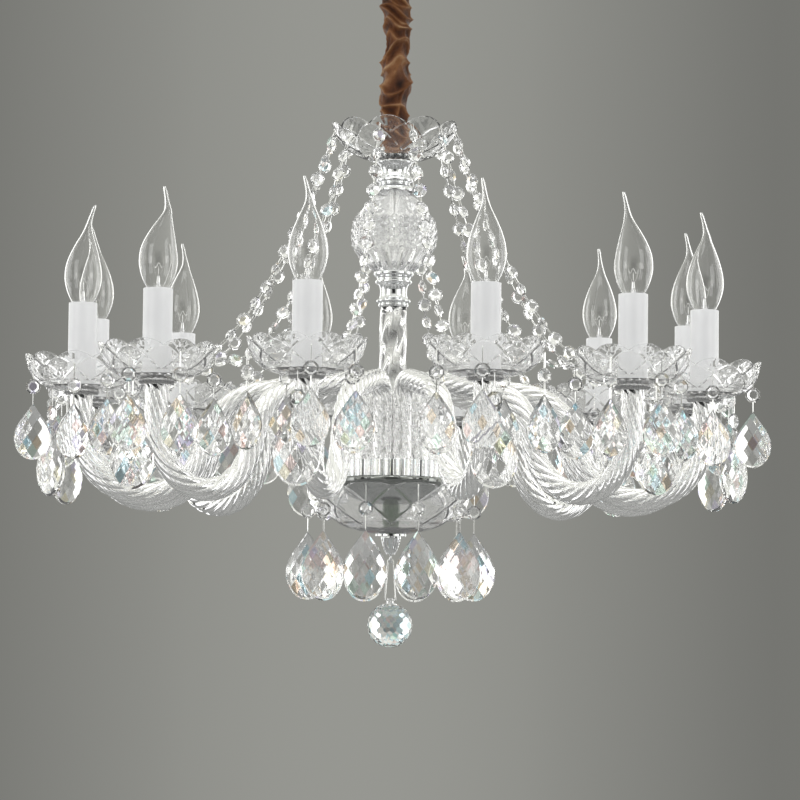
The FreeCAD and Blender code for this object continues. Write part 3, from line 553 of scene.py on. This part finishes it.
def make_dishes():
    """The drip dishes, the top dish and the bottom dish."""
    drip = cut_dish([(24, 0), (33, 2.8), (39.5, 6.2), (43.8, 10.0), (46.8, 14.6), (49.2, 20.5),
                     (50.9, 26.5), (52, 32)], DRIP_FLOOR, 5.6, 5.5, 0.36)
    piece("drip_dish_glass", on_arms(drip), CAST_GLASS, "drip_dishes", crease=22)
    top = cut_dish([(22, 0), (34, 4.2), (45, 11.2), (52, 19), (57, 27.5), (60, 35)], 4, 5.2,
                   6.9, 0.3)
    piece("top_dish_glass", top.put(moved(z=TOP_DISH) @ spun(10)), THIN_GLASS, "top_dish",
          crease=22)
    bottom = cut_dish([(16, 0), (32, 3.0), (46, 7.6), (58, 16.4), (65, 25), (72, 36), (77, 45)],
                      4, 5.2, 3.3, 0.4, star_cut=False)
    piece("bottom_dish_glass", bottom.put(moved(z=BOTTOM_DISH)), CAST_GLASS, "bottom_dish",
          crease=22)


# Central stack ---

def make_spools():
    """The turned necks over and under the ball."""
    upper = [(BORE, 0), (19.4, 0), (19.4, 2.2), (18.4, 4.6), (15.2, 6.4), (14.2, 7.6), (17.4, 9.6),
             (17.5, 12.4), (14.6, 14.4), (12.8, 17.6), (12.6, 20.5), (13.8, 24.2), (16.6, 27),
             (17.2, 29.6), (BORE, 29.6)]
    piece("upper_spool_chrome", turned(upper, 72, 1.2, 3).put(moved(z=UPPER_SPOOL)), CHROME,
          "upper_spool", crease=50)
    lower = [(BORE, 0), (14, 0), (14.4, 2.4), (13.6, 3.4), (16.2, 4.6), (16.4, 6.2), (14, 7.8),
             (12.9, 11), (12.7, 15), (13.2, 19), (15.4, 21.4), (17.4, 22.4), (17.6, 24.4),
             (15.8, 26), (16.2, 28), (18.9, 29.6), (18.9, 33.2), (BORE, 33.2)]
    piece("lower_spool_chrome", turned(lower, 72, 1.2, 3).put(moved(z=LOWER_SPOOL)), CHROME,
          "lower_spool", crease=50)


def make_ball():
    """Blown ball: flutes at the bottom, a band of cut diamonds and a plain shoulder."""
    sides, cell, count = 144, 6, 24
    band_start, band, cut = 21.4, 30, 1.3
    curve = flowing([(18.6, 0), (21, 1.8), (26, 6), (31.3, 11.2), (36.4, 18), (39.1, 25),
                     (40.2, 34.4), (39.4, 43), (37, 50.2), (32.2, 57.3), (26.2, 64.3), (21, 71),
                     (19, 75)], 6)
    column = np.arange(sides)
    flutes = np.abs(np.sin(column / sides * 24 * np.pi))

    def level(height, depth=0.0):
        return ring(np.interp(height, curve[:, 1], curve[:, 0]) - depth, height, sides)

    rings = [level(height, depth * (1 - flutes)) for height, depth in (
        (0, 0), (1.8, 0.6), (4, 1.2), (6.5, 1.6), (10, 1.8), (14, 1.8), (18, 1.4), (20.5, 0.3))]
    for step in range(count + 1):
        across, up = column / cell, step / cell
        net = np.minimum(np.abs((across + up + 0.5) % 1 - 0.5),
                         np.abs((across - up + 0.5) % 1 - 0.5))
        rings.append(level(band_start + band * step / count, cut * (1 - 2 * net) - 0.7))
    rings += [level(height) for height in (52.6, 56, 60, 64, 68, 71.5, 75)]
    rings += [ring(r, z, sides) for r, z in ((15.5, 75), (22, 66), (30, 56), (34.6, 48), (36, 36),
                                             (33, 21), (25, 8), (14, 0.8), (12, 0))]
    piece("ball_glass", skin(np.array(rings), loop=True).put(moved(z=BALL)), HAZY_GLASS,
          "glass_ball", crease=18)


def make_column():
    """Glass column with round ribs that wind about it."""
    ribs, per_rib, levels, twist = 8, 9, 100, 1.2
    outer, groove, painted_light_layer = 13, 2.6, 0.5
    sides, length = ribs * per_rib, LOWER_SPOOL - COLUMN
    rings = []
    for height in np.linspace(0, length, levels):
        phase = np.arange(sides) / per_rib * np.pi
        end = np.clip(min(height, length - height) / 3, 0, 1)
        radius = outer - (1 - end) * painted_light_layer - groove * (1 - np.abs(np.sin(phase))) * end
        rings.append(ring(radius, height, sides, twist * height))
    rings += [ring(BORE, height, sides, twist * height) for height in (length, length / 2, 0)]
    piece("column_glass", skin(np.array(rings), loop=True).put(moved(z=COLUMN)), CAST_GLASS,
          "column", crease=40)


def make_hub():
    """Reeded chrome cup over a polished plate, which is spun into a shallow bowl below."""
    sides = 240
    reeds = np.abs(np.cos(np.arange(sides) / sides * 20 * np.pi)) ** 0.5
    outline = [(BORE, 0, 0), (44, 0, 0), (46.2, 0, 0.4), (46.6, 0.5, 0.9), (46.6, 15.4, 0.9),
               (46.2, 16, 0.4), (45.6, 16, 0), (45.6, 3, 0), (BORE, 3, 0)]
    rings = [ring(radius + reed * reeds, height, sides) for radius, height, reed in outline]
    piece("hub_cup", skin(np.array(rings), loop=True).put(moved(z=HUB)), CHROME, "hub_ring",
          crease=30)
    outside = [(50 * math.cos(a), 2.6 - 25 * math.sin(a)) for a in np.linspace(0, 1.42, 14)]
    inside = [(0.975 * r, z + 0.8) for r, z in reversed(outside)]
    plate = turned([(BORE, 4), (48.6, 4), *outside, *inside, (48.4, 2.2), (BORE, 2.2)], 96, 0.3)
    # the plate's chrome is painted dark, standing in for the dark reflection it shows
    piece("hub_plate_chrome", plate.put(moved(z=PLATE)), PAINTED_DARK_CHROME, "hub_plate", crease=50)


def make_finial():
    """Nut with a knurled cone and an eye."""
    sides, foot, top, rows = 60, 2, 15.5, 10
    rings = []
    for step, height in enumerate(np.linspace(foot, top, rows + 1)):
        radius = 5 + 4.4 * ((height - foot) / (top - foot)) ** 0.7
        rings.append(ring(radius - 0.5 * ((np.arange(sides) // 2 + step) % 2), height, sides))
    cone = skin(np.array([ring(BORE - 4, 9, sides), ring(0.3, 0, sides), ring(4.4, 0, sides)]
                         + rings + [ring(9, 16.4, sides), ring(14.5, 16.8, sides),
                                    ring(14.5, 18.6, sides), ring(13.8, 19, sides),
                                    ring(BORE, 19, sides), ring(BORE, 9, sides)]), loop=True)
    eye = wire_ring(3.2, 3.2, 24, 1.1, 8)
    piece("finial_chrome", joined([cone.put(moved(z=FINIAL)), eye.put(moved(z=EYE))]), CHROME,
          "finial_nut", crease=30)


# Arms ---

LEAD = 68.0  # how far an arm rises straight from the hub


def arm_path(step=3.6):
    """Evenly spaced (reach, height, heading) along the middle of an arm, from the hub out."""
    base, lead, arch, shoulder, low, drop, end = 36.0, LEAD, 18.0, 60.0, 235.0, 23.5, 65.5
    fall, dive, sweep = math.radians(10), math.radians(75), REACH - low
    line = [(base, z, math.pi / 2) for z in np.linspace(0, lead, 20)[:-1]]

    def bend(centre, radius, first, last, side):
        for heading in np.linspace(first, last, 60):
            line.append((centre[0] - side * radius * math.sin(heading),
                         centre[1] + side * radius * math.cos(heading), heading))

    bend((base + arch, lead), arch, math.pi / 2, -fall, 1)
    peak = line[-1]
    dive_x, dive_z = low - sweep * math.sin(dive), -drop + sweep * (1 - math.cos(dive))
    over_x = shoulder * (math.sin(dive) - math.sin(fall))
    over_z = shoulder * (math.cos(fall) - math.cos(dive))
    run = ((dive_x - peak[0] - over_x) * math.tan(dive) - (peak[1] - over_z - dive_z)) / (
        math.tan(dive) - math.tan(fall))
    start = (peak[0] + run, peak[1] - run * math.tan(fall))
    bend((start[0] - shoulder * math.sin(fall), start[1] - shoulder * math.cos(fall)), shoulder,
         -fall, -dive, 1)
    bend((low, -drop + sweep), sweep, -dive, math.pi / 2, -1)
    line.append((REACH, end, math.pi / 2))
    line = np.array(line)
    length = np.r_[0, np.cumsum(np.hypot(*np.diff(line[:, :2], axis=0).T))]
    even = np.linspace(0, length[-1], round(length[-1] / step))
    return even, np.stack([np.interp(even, length, line[:, k]) for k in range(3)], axis=1)


def make_arms():
    """Rope-twisted glass arms."""
    lobes, per_lobe, twist = 8, 5, math.radians(3.1)
    root_rad, growth = 9, 1.5
    rings = []
    lengths, path = arm_path()
    for length, (reach, height, heading) in zip(lengths, path):
        across = np.array([-math.sin(heading), 0, math.cos(heading)])
        grown = np.clip(length / LEAD - 1, 0, 1)
        phase = np.arange(lobes * per_lobe) / per_lobe * np.pi
        groove = (0.7 + 0.5 * grown) * (1 - np.abs(np.sin(phase))) ** 1.3
        radius = root_rad + growth * grown - groove
        angle = 2 * phase / lobes + twist * length
        rings.append(np.array([reach, 0, height])
                     + np.outer(radius * np.cos(angle), across)
                     + np.outer(radius * np.sin(angle), (0, 1, 0)))
    arm = skin(np.array(rings), ends=True)
    places = [spun(FIRST_ARM + STEP * n) @ moved(z=COLUMN) for n in range(ARMS)]
    piece("arm_glass", joined([arm.put(place) for place in places]), ROPE_GLASS, "arms", crease=40)


# What each arm carries ---

# lamp holders: the spigot that they stand on, their length, the depth of their cup and the
# clearance under a bulb
SPIGOT, HOLDER_LENGTH, HOLDER_CUP, SLIP = 12, 62, 22.3, 0.3


def make_cups():
    """Dark cups with a beaded edge, and the spigots that the holders stand on."""
    sides = 96
    beads = np.abs(np.sin(np.arange(sides) / sides * 24 * np.pi))
    rings = [ring(r - dip * (1 - beads), z, sides) for r, z, dip in (
        (10.8, -4.5, 0), (13.2, -4.5, 0), (14.4, -4.1, 0.3), (15.4, -3.3, 1.2), (16.3, -2.2, 1.5),
        (16.5, -1.4, 1.4), (16.0, -0.5, 0.8), (15.2, 0, 0.2), (5, 0, 0), (5, 11.6, 0),
        (4.6, SPIGOT, 0))]
    cup = skin(np.array(rings), ends=True)
    piece("arm_cup_metal", on_arms(cup), DARK_CHROME, "arm_cups", crease=50)


def make_candles():
    """White tubes with a drawn-in top edge."""
    candle = turned([(11.7, 0), (13, 0), (13, 76.2), (12.4, 76.5), (11.7, 76.2)], 48, 0.5)
    piece("candle_tube_white", on_arms(candle, DRIP_FLOOR), CANDLE, "candle_tubes", crease=40)


BULB_PROFILE = [(6.7, 0), (6.7, 21), (8.4, 25), (10.4, 28.6), (13.2, 34), (15.8, 41), (17.3, 48),
                (17.5, 53), (16.9, 60), (15.0, 68), (12.2, 76), (8.8, 84), (5.2, 92), (2.9, 100),
                (1.9, 108), (1.7, 114), (1.1, 118)]
# how far the neck and the tip of each tail lean along X, in mm
BULB_BENDS = ((1, -3), (1, -1), (2, -3), (2, 3), (2, -1.5), (-1, -6), (3.5, 9.5), (7.5, 4),
              (0.5, -4), (-1, -4), (-5, -9), (1.5, -3.5))


def make_bulbs():
    """Clear flame bulbs. Each has a thin wall, a drawn tail that leans, a stem and a filament."""
    sides, wall, tip_wall, tip_foot = 32, 0.7, 0.6, 110
    neck_start, neck_run, tail_start, tail_run = 62, 34, 96, 22
    steps, capped = 3, 2  # the profile's first two stretches are inside the cap
    curve = flowing(BULB_PROFILE, steps)[steps * capped:]
    height = curve[:, 1]
    outer = [ring(r, z, sides) for r, z in curve]
    inner = [ring(max(r - wall, 0.3), z - (tip_wall if z > tip_foot else 0), sides)
             for r, z in curve]
    hollow = skin(np.array(inner), ends=True)
    upright = joined([skin(np.array(outer), ends=True),
                      Form(hollow.points, [face[::-1] for face in hollow.faces])])
    base = turned([(0.4, 0), (3, 0), (6.4, 3), (6.8, 4), (6.8, 22), (6.4, 24), (0.4, 24)], 32, 0.5)
    stem = turned([(0.3, 24), (5.2, 24), (3.0, 28), (1.6, 33), (1.2, 39), (0.3, 40)], 20, 0.6)
    wires = [tube(flowing([(side * 0.8, 0, 38), (side * 3.2, 0, 43), (side * 4.6, 0, 50)], 6),
                  0.22, 5) for side in (-1, 1)]
    wires += [tube([(0, 0, 39), (0, side * 2.2, 47)], 0.18, 5) for side in (-1, 1)]
    zigzag = [(-4.6, 0, 50), (-2.6, 1.6, 46.5), (0, 2.2, 50.5), (2.6, 1.6, 46.5), (4.6, 0, 50)]
    wires.append(tube(flowing(zigzag, 10), 0.32, 5))
    lift = SPIGOT + HOLDER_LENGTH - HOLDER_CUP + SLIP
    for n in range(ARMS):
        name = f"bulb_{n + 1:02d}"
        place = arm_place(n) @ moved(z=lift) @ spun(-FIRST_ARM - STEP * n)
        neck, tip = BULB_BENDS[n]
        bend = neck * np.clip((height - neck_start) / neck_run, 0, 1) ** 1.5
        bend += (tip - neck) * np.clip((height - tail_start) / tail_run, 0, 1) ** 1.4
        bulb = Form(upright.points.copy(), upright.faces)
        bulb.points[:, 0] += np.interp(bulb.points[:, 2], height, bend)
        piece(f"{name}_glass", bulb.put(place), BULB_GLASS, name, body=name, crease=50)
        piece(f"{name}_cap", base.put(place), CHROME, body=name, crease=50)
        piece(f"{name}_stem", stem.put(place), BULB_GLASS, body=name, crease=50)
        piece(f"{name}_filament", joined(wires).put(place), WIRE, body=name, crease=60)


# Hanging crystals ---

BEAD_RAD = 7 * math.cos(math.pi / 8)


def bead_gem():
    """An octagon bead, cut with a small table and eight facets on each face."""
    planes = []
    for index in range(8):
        a = math.radians(45 * index)
        planes.append(((math.cos(a), 0, math.sin(a)), BEAD_RAD))
        b = a + math.radians(22.5)
        planes.append(((math.cos(b), 0, math.sin(b)), 6.9))
        for side in (-1, 1):
            lean = math.radians(38)
            planes.append(((math.cos(a) * math.sin(lean), side * math.cos(lean),
                            math.sin(a) * math.sin(lean)), 4.55))
    planes += [((0, side, 0), 3.0) for side in (-1, 1)]
    return gem(planes)


def pear_half(share):
    """Half the width of a pear drop at a share of its length, as a share of the widest."""
    share = np.asarray(share, float)
    top = np.sin(np.pi / 2 * np.clip(share / 0.6, 0, 1) ** 1.08)
    low = np.sqrt(np.clip(1 - (np.clip(share - 0.6, 0, 1) / 0.4) ** 2, 0, 1))
    return np.where(share < 0.6, top, low)


def pear_gem(length, width, thick, pitch):
    """A pear drop, tip at the origin: a net of flat lozenges on both faces and a cut edge."""
    share = np.linspace(0, 1, 181)
    half = pear_half(share) * width / 2
    middle = -length * 0.56
    outline = np.concatenate([np.stack([side * half, 0 * half, -length * share - middle], axis=1)
                              for side in (-1, 1)])
    wide, tall = 0.6 * width, 0.62 * length
    step = pitch * tall / wide
    planes = []
    for row in range(-12, 13):
        for column in range(-8, 9):
            x, z = (column + 0.5 * (row % 2)) * pitch, row * step / 2
            rise = thick / 2 * (1 - (x / wide) ** 2 - (z / tall) ** 2)
            if rise > 0 and np.min(np.hypot(outline[:, 0] - x, outline[:, 2] - z)) < pitch * 8:
                normal = np.array([thick * x / wide ** 2, 1, thick * z / tall ** 2])
                normal /= np.linalg.norm(normal)
                for side in (1, -1):
                    planes.append((normal * (1, side, 1), float(normal @ (x, rise, z))))
    for index in range(40):
        a = 2 * math.pi * index / 40
        out = np.array([math.cos(a), 0, math.sin(a)])
        planes.append((out, float((outline @ out).max())))
        for side in (1, -1):
            bevel = np.array([math.cos(a) * 0.8, side * 0.6, math.sin(a) * 0.8])
            edge = outline + (0, side * 0.7, 0)
            planes.append((bevel, float((edge @ bevel).max())))
    return gem(planes).put(moved(z=middle))


def ball_gem(radius):
    """A round crystal cut all over in rows of facets."""
    planes = [((0, 0, side), radius * 0.97) for side in (-1, 1)]
    for row, latitude in enumerate(range(-75, 76, 15)):
        count = 8 if abs(latitude) > 70 else 16
        for index in range(count):
            a = 2 * math.pi * (index + 0.5 * (row % 2)) / count
            lat = math.radians(latitude)
            planes.append(((math.cos(lat) * math.cos(a), math.cos(lat) * math.sin(a),
                            math.sin(lat)), radius * 0.985))
    return gem(planes)


def bow_pin(length, wide=1.7, wire=0.36):
    """A bent pin from the origin down: two wires side by side with a hook at each end."""
    half = wide / 2
    path = [(0, half * 0.2, 0.9), (0, -half, 0.2), (0, -half, -length * 0.5),
            (0, -half, -length + 0.2), (0, 0, -length - 1.1), (0, half, -length + 0.2),
            (0, half, -length * 0.5), (0, half, 0.2)]
    return tube(flowing(path, 4), wire, 5)


BEAD = bead_gem()
SMALL_DROP = pear_gem(50, 33, 9.6, 8.6)
LARGE_DROP = pear_gem(63, 40, 10.8, 9.8)


def strand(drop, first, second, bead_turn, drop_turn):
    """A hanging strand in three parts: wires, bead and drop.

    The first pin's length is that above the bead, the second's that above the drop.
    """
    bead_z = -first - BEAD_RAD
    drop_z = bead_z - BEAD_RAD - second
    wires = joined([bow_pin(first).put(spun(bead_turn)),
                    bow_pin(second).put(moved(z=bead_z - BEAD_RAD) @ spun(drop_turn))])
    return (wires, BEAD.put(moved(z=bead_z) @ spun(bead_turn)),
            drop.put(moved(z=drop_z) @ spun(drop_turn)))


def put_strands(name, parts, painted_fire):
    """Three pieces of the fixture, made of many strands."""
    wires, beads, drops = zip(*parts)
    piece(f"{name}_pin_wires", joined(wires), WIRE, f"{name}_pins", crease=60)
    piece(f"{name}_bead_crystals", joined(beads), CRYSTAL, f"{name}_beads", crease=0, painted_fire=0.03)
    piece(f"{name}_drop_crystals", joined(drops), CRYSTAL, f"{name}_drops", crease=0, painted_fire=painted_fire)


def make_rim_strands():
    """Five strands round each drip dish, turned to the front.

    The outer one hangs to the side of its place, out of the large pendant's way.
    """
    aside, hang_rad, hang_height = 20, 50.3, 20
    parts = []
    for n in range(ARMS):
        for angle in (0, 72, 144, 216, 288):
            loose = 38 if angle else 5
            hang = angle or (aside if n % 6 < 3 else -aside)
            facing = -hang - FIRST_ARM - STEP * n
            turn = facing + RANDOM.uniform(-loose, loose)
            drop_turn = turn + RANDOM.uniform(-loose, loose) * 0.3
            place = arm_place(n) @ spun(hang) @ moved(hang_rad, 0, hang_height)
            parts.append([form.put(place)
                          for form in strand(SMALL_DROP, 13, 9.5, turn, drop_turn)])
    put_strands("rim", parts, 0.14)


def make_pendants():
    """The larger strand under the outer side of each dish.

    It is turned to the front as far as its swing leaves room between the arm and the rim.
    """
    flat, room = 90, 28
    for n in range(ARMS):
        name = f"large_pendant_{n + 1:02d}"
        facing = (-FIRST_ARM - STEP * n) % 180
        turn = min(max(facing, flat - room), flat + room) + RANDOM.uniform(-2, 2)
        wires, bead, drop = strand(LARGE_DROP, 16, 6, turn, turn)
        place = arm_place(n) @ moved(27, 0, 0.9)
        piece(f"{name}_crystal", joined([bead, drop]).put(place), CRYSTAL, name, body=name,
              crease=0, painted_fire=0.14)
        piece(f"{name}_wires", wires.put(place), WIRE, body=name, crease=60)


def make_hub_strands():
    """Ten large strands round the bottom dish."""
    parts = []
    for n in range(SCALLOPS):
        angle = 360 / SCALLOPS * n
        place = spun(angle) @ moved(77.4, 0, BOTTOM_DISH + 42)
        turn = -angle + RANDOM.uniform(-24, 24)
        parts.append([form.put(place) for form in strand(LARGE_DROP, 15, 13, turn, turn)])
    put_strands("hub", parts, 0.12)


def make_garlands():
    """Twelve bead chains that hang slack from the top dish to the drip dishes."""
    beads, pins = [], []
    pitch, sag, sway = 18.6, 78, 2.5
    for n in range(ARMS):
        start, end = np.array([57.5, 0, TOP_DISH + 27]), np.array([REACH - 50.5, 0, DRIP + 26])
        t = np.linspace(0, 1, 200)[:, None]
        line = start + (end - start) * t - np.array([0, 0, sag]) * 4 * t * (1 - t)
        line[:, 1] += sway * np.sin(np.pi * t[:, 0]) * RANDOM.uniform(-1, 1)
        length = np.r_[0, np.cumsum(np.linalg.norm(np.diff(line, axis=0), axis=1))]
        count = round(length[-1] / pitch)
        even = length[-1] / count
        stations = np.stack([np.interp(np.arange(count + 1) * even, length, line[:, k])
                             for k in range(3)], axis=1)
        place = spun(FIRST_ARM + STEP * n)
        for index in range(count):
            a, b = stations[index], stations[index + 1]
            along = Vector(b - a).normalized()
            turn = along.to_track_quat("-Z", "Y").to_matrix().to_4x4()
            here = np.array(Matrix.Translation(a) @ turn)
            spin = 35 + 110 * (index % 2) + RANDOM.uniform(-30, 30)
            gap = even - 2 * BEAD_RAD
            bead_at = here @ moved(z=-gap - BEAD_RAD) @ spun(spin)
            pins.append(bow_pin(gap, 1.9).put(here @ spun(spin)).put(place))
            if index < count - 1:
                beads.append(BEAD.put(bead_at).put(place))
            else:
                pins.append(bow_pin(even - gap - 2).put(here @ moved(z=-gap - 1)).put(place))
    piece("garland_beads", joined(beads), CRYSTAL, crease=0, painted_fire=0.03)
    piece("garland_pins", joined(pins), WIRE, crease=60)


def make_drop_ball():
    """Faceted ball on a wire bail, which hangs in the eye and passes the ball's neck."""
    radius, bail_length, ball_rad, neck_rise = BAIL - EYE, 38.3, 21, 2
    bow = [(radius * math.cos(a), 0, radius * math.sin(a)) for a in np.linspace(0, np.pi, 9)]
    foot = radius - bail_length
    path = bow + [(-5, 0, foot + 0.6), (-4.4, 0, foot), (4.4, 0, foot), (5, 0, foot + 0.6)]
    piece("ball_bail_wire", tube(np.array(path), 0.8, 8, closed=True).put(moved(z=EYE)), WIRE,
          "ball_bail", body="drop_ball", crease=60)
    centre = BAIL - bail_length - neck_rise - ball_rad
    neck = turned([(0.2, 18.5), (3.9, 18.5), (3.6, 21), (3.4, 24.4), (2.8, 25), (0.2, 25)], 24, 0.5)
    piece("drop_ball_crystal", ball_gem(ball_rad).put(moved(z=centre)), CRYSTAL, "drop_ball",
          body="drop_ball", crease=0, painted_fire=0.04)
    piece("drop_ball_neck", neck.put(moved(z=centre)), CAST_GLASS, body="drop_ball", crease=40)


# Studio ---

def make_floor():
    """A pale floor far below, which takes the object's shadow."""
    half, low = 30.0, -3.1
    mesh = bpy.data.meshes.new("floor")
    mesh.from_pydata([(-half, -half, low), (half, -half, low), (half, half, low),
                      (-half, half, low)], [], [(0, 1, 2, 3)])
    nodes = Nodes("floor_grey")
    nodes.set(Roughness=0.9, Specular_IOR_Level=0.2, Base_Color=nodes.ramp(
        nodes.noise(0.8, 2), (0.3, (0.36, 0.36, 0.345)), (0.7, (0.38, 0.38, 0.365))))
    mesh.materials.append(nodes.material)
    floor = add_object("floor", mesh)


def make_world():
    """A grey wall behind the object and white ones round it, for camera, glass and gloss.

    The room that polished metal shows has black screens too, as a studio sets them up.
    """
    world = bpy.data.worlds.new("studio")
    bpy.context.scene.world = world
    world.use_nodes = True
    tree = world.node_tree
    tree.nodes.clear()

    def add(kind, inputs=None, **settings):
        return add_node(tree, kind, inputs, **settings)

    def math_node(operation, first, second):
        return add("ShaderNodeMath", {0: first, 1: second}, operation=operation).outputs[0]

    def by_ramp(factor, stops):
        """Greys of a factor, each a place and a brightness, with the walls' faint warmth."""
        return add_ramp(tree, factor, [(place, (level, 1.006 * level, 0.93 * level))
                                       for place, level in stops])

    view = add("ShaderNodeTexCoord").outputs["Generated"]
    x, y, z = add("ShaderNodeSeparateXYZ", {0: view}).outputs
    turn = math_node("DIVIDE", math_node("ARCTAN2", math_node("ABSOLUTE", x, 0), y), math.pi)
    height = math_node("MULTIPLY", math_node("ADD", z, 1), 0.5)
    nearness = add("ShaderNodeMapRange", {"Value": math_node("ABSOLUTE", z, 0), "From Min": 0.2,
                                          "From Max": 0.5}, interpolation_type="SMOOTHSTEP")
    # painted light on the wall behind the object: a pool brightest straight behind it, painted
    # darker toward the sides
    painted_wall_glow = ((0.0, 0.307), (0.006, 0.305), (0.015, 0.283), (0.019, 0.262), (0.0316, 0.207),
              (0.038, 0.178), (0.06, 0.19))

    def room(walls, ends):
        """A background of walls by azimuth, which go over into floor and ceiling."""
        colour = add("ShaderNodeMix", {0: nearness.outputs["Result"], 6: by_ramp(turn, walls),
                                       7: by_ramp(height, ends)}, data_type="RGBA")
        return add("ShaderNodeBackground", {"Color": colour.outputs[2]})

    clear = room((*painted_wall_glow, (0.13, 0.4), (0.22, 0.7), (0.7, 0.7), (0.86, 0.56), (1.0, 0.34)),
                 ((0.0, 0.34), (0.35, 0.38), (0.65, 0.66), (1.0, 0.76)))
    hard = room((*painted_wall_glow, (0.13, 0.5), (0.19, 1.0), (0.33, 1.0), (0.35, 0.03), (0.42, 0.03),
                 (0.44, 0.85), (0.6, 0.85), (0.62, 0.04), (0.68, 0.04), (0.7, 1.0), (0.84, 1.0),
                 (0.9, 0.3), (0.94, 0.02), (1.0, 0.02)),
                ((0.0, 0.1), (0.35, 0.16), (0.65, 0.8), (1.0, 0.9)))
    last = add("ShaderNodeBackground", {"Color": (0.98, 0.99, 1.0, 1), "Strength": 0.74})
    rays = add("ShaderNodeLightPath").outputs
    for kind, background in (("Is Transmission Ray", clear), ("Is Glossy Ray", hard),
                             ("Is Camera Ray", clear)):
        last = add("ShaderNodeMixShader", {0: rays[kind], 1: last.outputs[0],
                                           2: background.outputs[0]})
    add("ShaderNodeOutputWorld", {"Surface": last.outputs[0]})


def softbox(name, place, size, level, aim=(0.0, 0.0, -0.4)):
    """A soft lamp that looks at the object. The level is how bright its face is."""
    lamp = bpy.data.lights.new(name, "AREA")
    lamp.shape = "RECTANGLE"
    lamp.size, lamp.size_y = size
    lamp.energy = level * math.pi * size[0] * size[1]
    thing = add_object(name, lamp)
    thing.location = place
    thing.rotation_euler = (Vector(aim) - Vector(place)).to_track_quat("-Z", "Y").to_euler()
    thing.visible_camera = False


def make_lamps():
    """Three pairs of lamps at the sides and one above."""
    for name, (x, y, z), size, level in (("front", (2.3, -2.0, 0.4), (1.3, 2.2), 1.6),
                                         ("side", (2.6, 0.5, -0.1), (1.2, 2.4), 1.3),
                                         ("back", (1.5, 2.3, -0.4), (0.9, 2.6), 1.2)):
        softbox(f"{name}_left", (-x, y, z), size, level)
        softbox(f"{name}_right", (x, y, z), size, level)
    softbox("top", (0.0, -0.6, 2.0), (2.4, 1.6), 1.5)


def make_camera():
    """The photograph's view: from a little below the middle of the object, tipped up, with a
    slight roll."""
    turn, pitch, yaw, roll = (math.radians(angle) for angle in (-0.578, 4.349, 0.13, 0.62))
    distance, height = 3.16, -0.69

    def leaned(first, second, angle):
        """Two directions at right angles, both turned by the angle."""
        return (first * math.cos(angle) + second * math.sin(angle),
                second * math.cos(angle) - first * math.sin(angle))

    place = np.array([distance * math.sin(turn), -distance * math.cos(turn), height])
    ahead = np.array([-math.sin(turn), math.cos(turn), 0])
    right, up = np.array([math.cos(turn), math.sin(turn), 0]), np.array([0, 0, 1])
    ahead, right = leaned(ahead, right, yaw)
    ahead, up = leaned(ahead, up, pitch)
    right, up = leaned(right, up, roll)
    camera = bpy.data.cameras.new("camera")
    camera.lens, camera.sensor_width = 152.6, 36.0
    camera.clip_end = 100
    thing = add_object("camera", camera)
    matrix = np.eye(4)
    matrix[:3, :3] = np.stack([right, up, -ahead], axis=1)
    matrix[:3, 3] = place
    thing.matrix_world = Matrix(matrix.tolist())
    bpy.context.scene.camera = thing


for make in (make_camera, make_canopy, make_top_ring, make_sleeve, make_dishes, make_spools,
             make_ball, make_column, make_hub, make_finial, make_arms, make_cups, make_candles,
             make_bulbs, make_rim_strands, make_pendants, make_hub_strands, make_garlands,
             make_drop_ball, make_floor, make_world, make_lamps):
    make()
scene = bpy.context.scene
scene.view_settings.view_transform = "Standard"
# light passes many glass walls before it reaches the room
scene.cycles.max_bounces = scene.cycles.transmission_bounces = 24
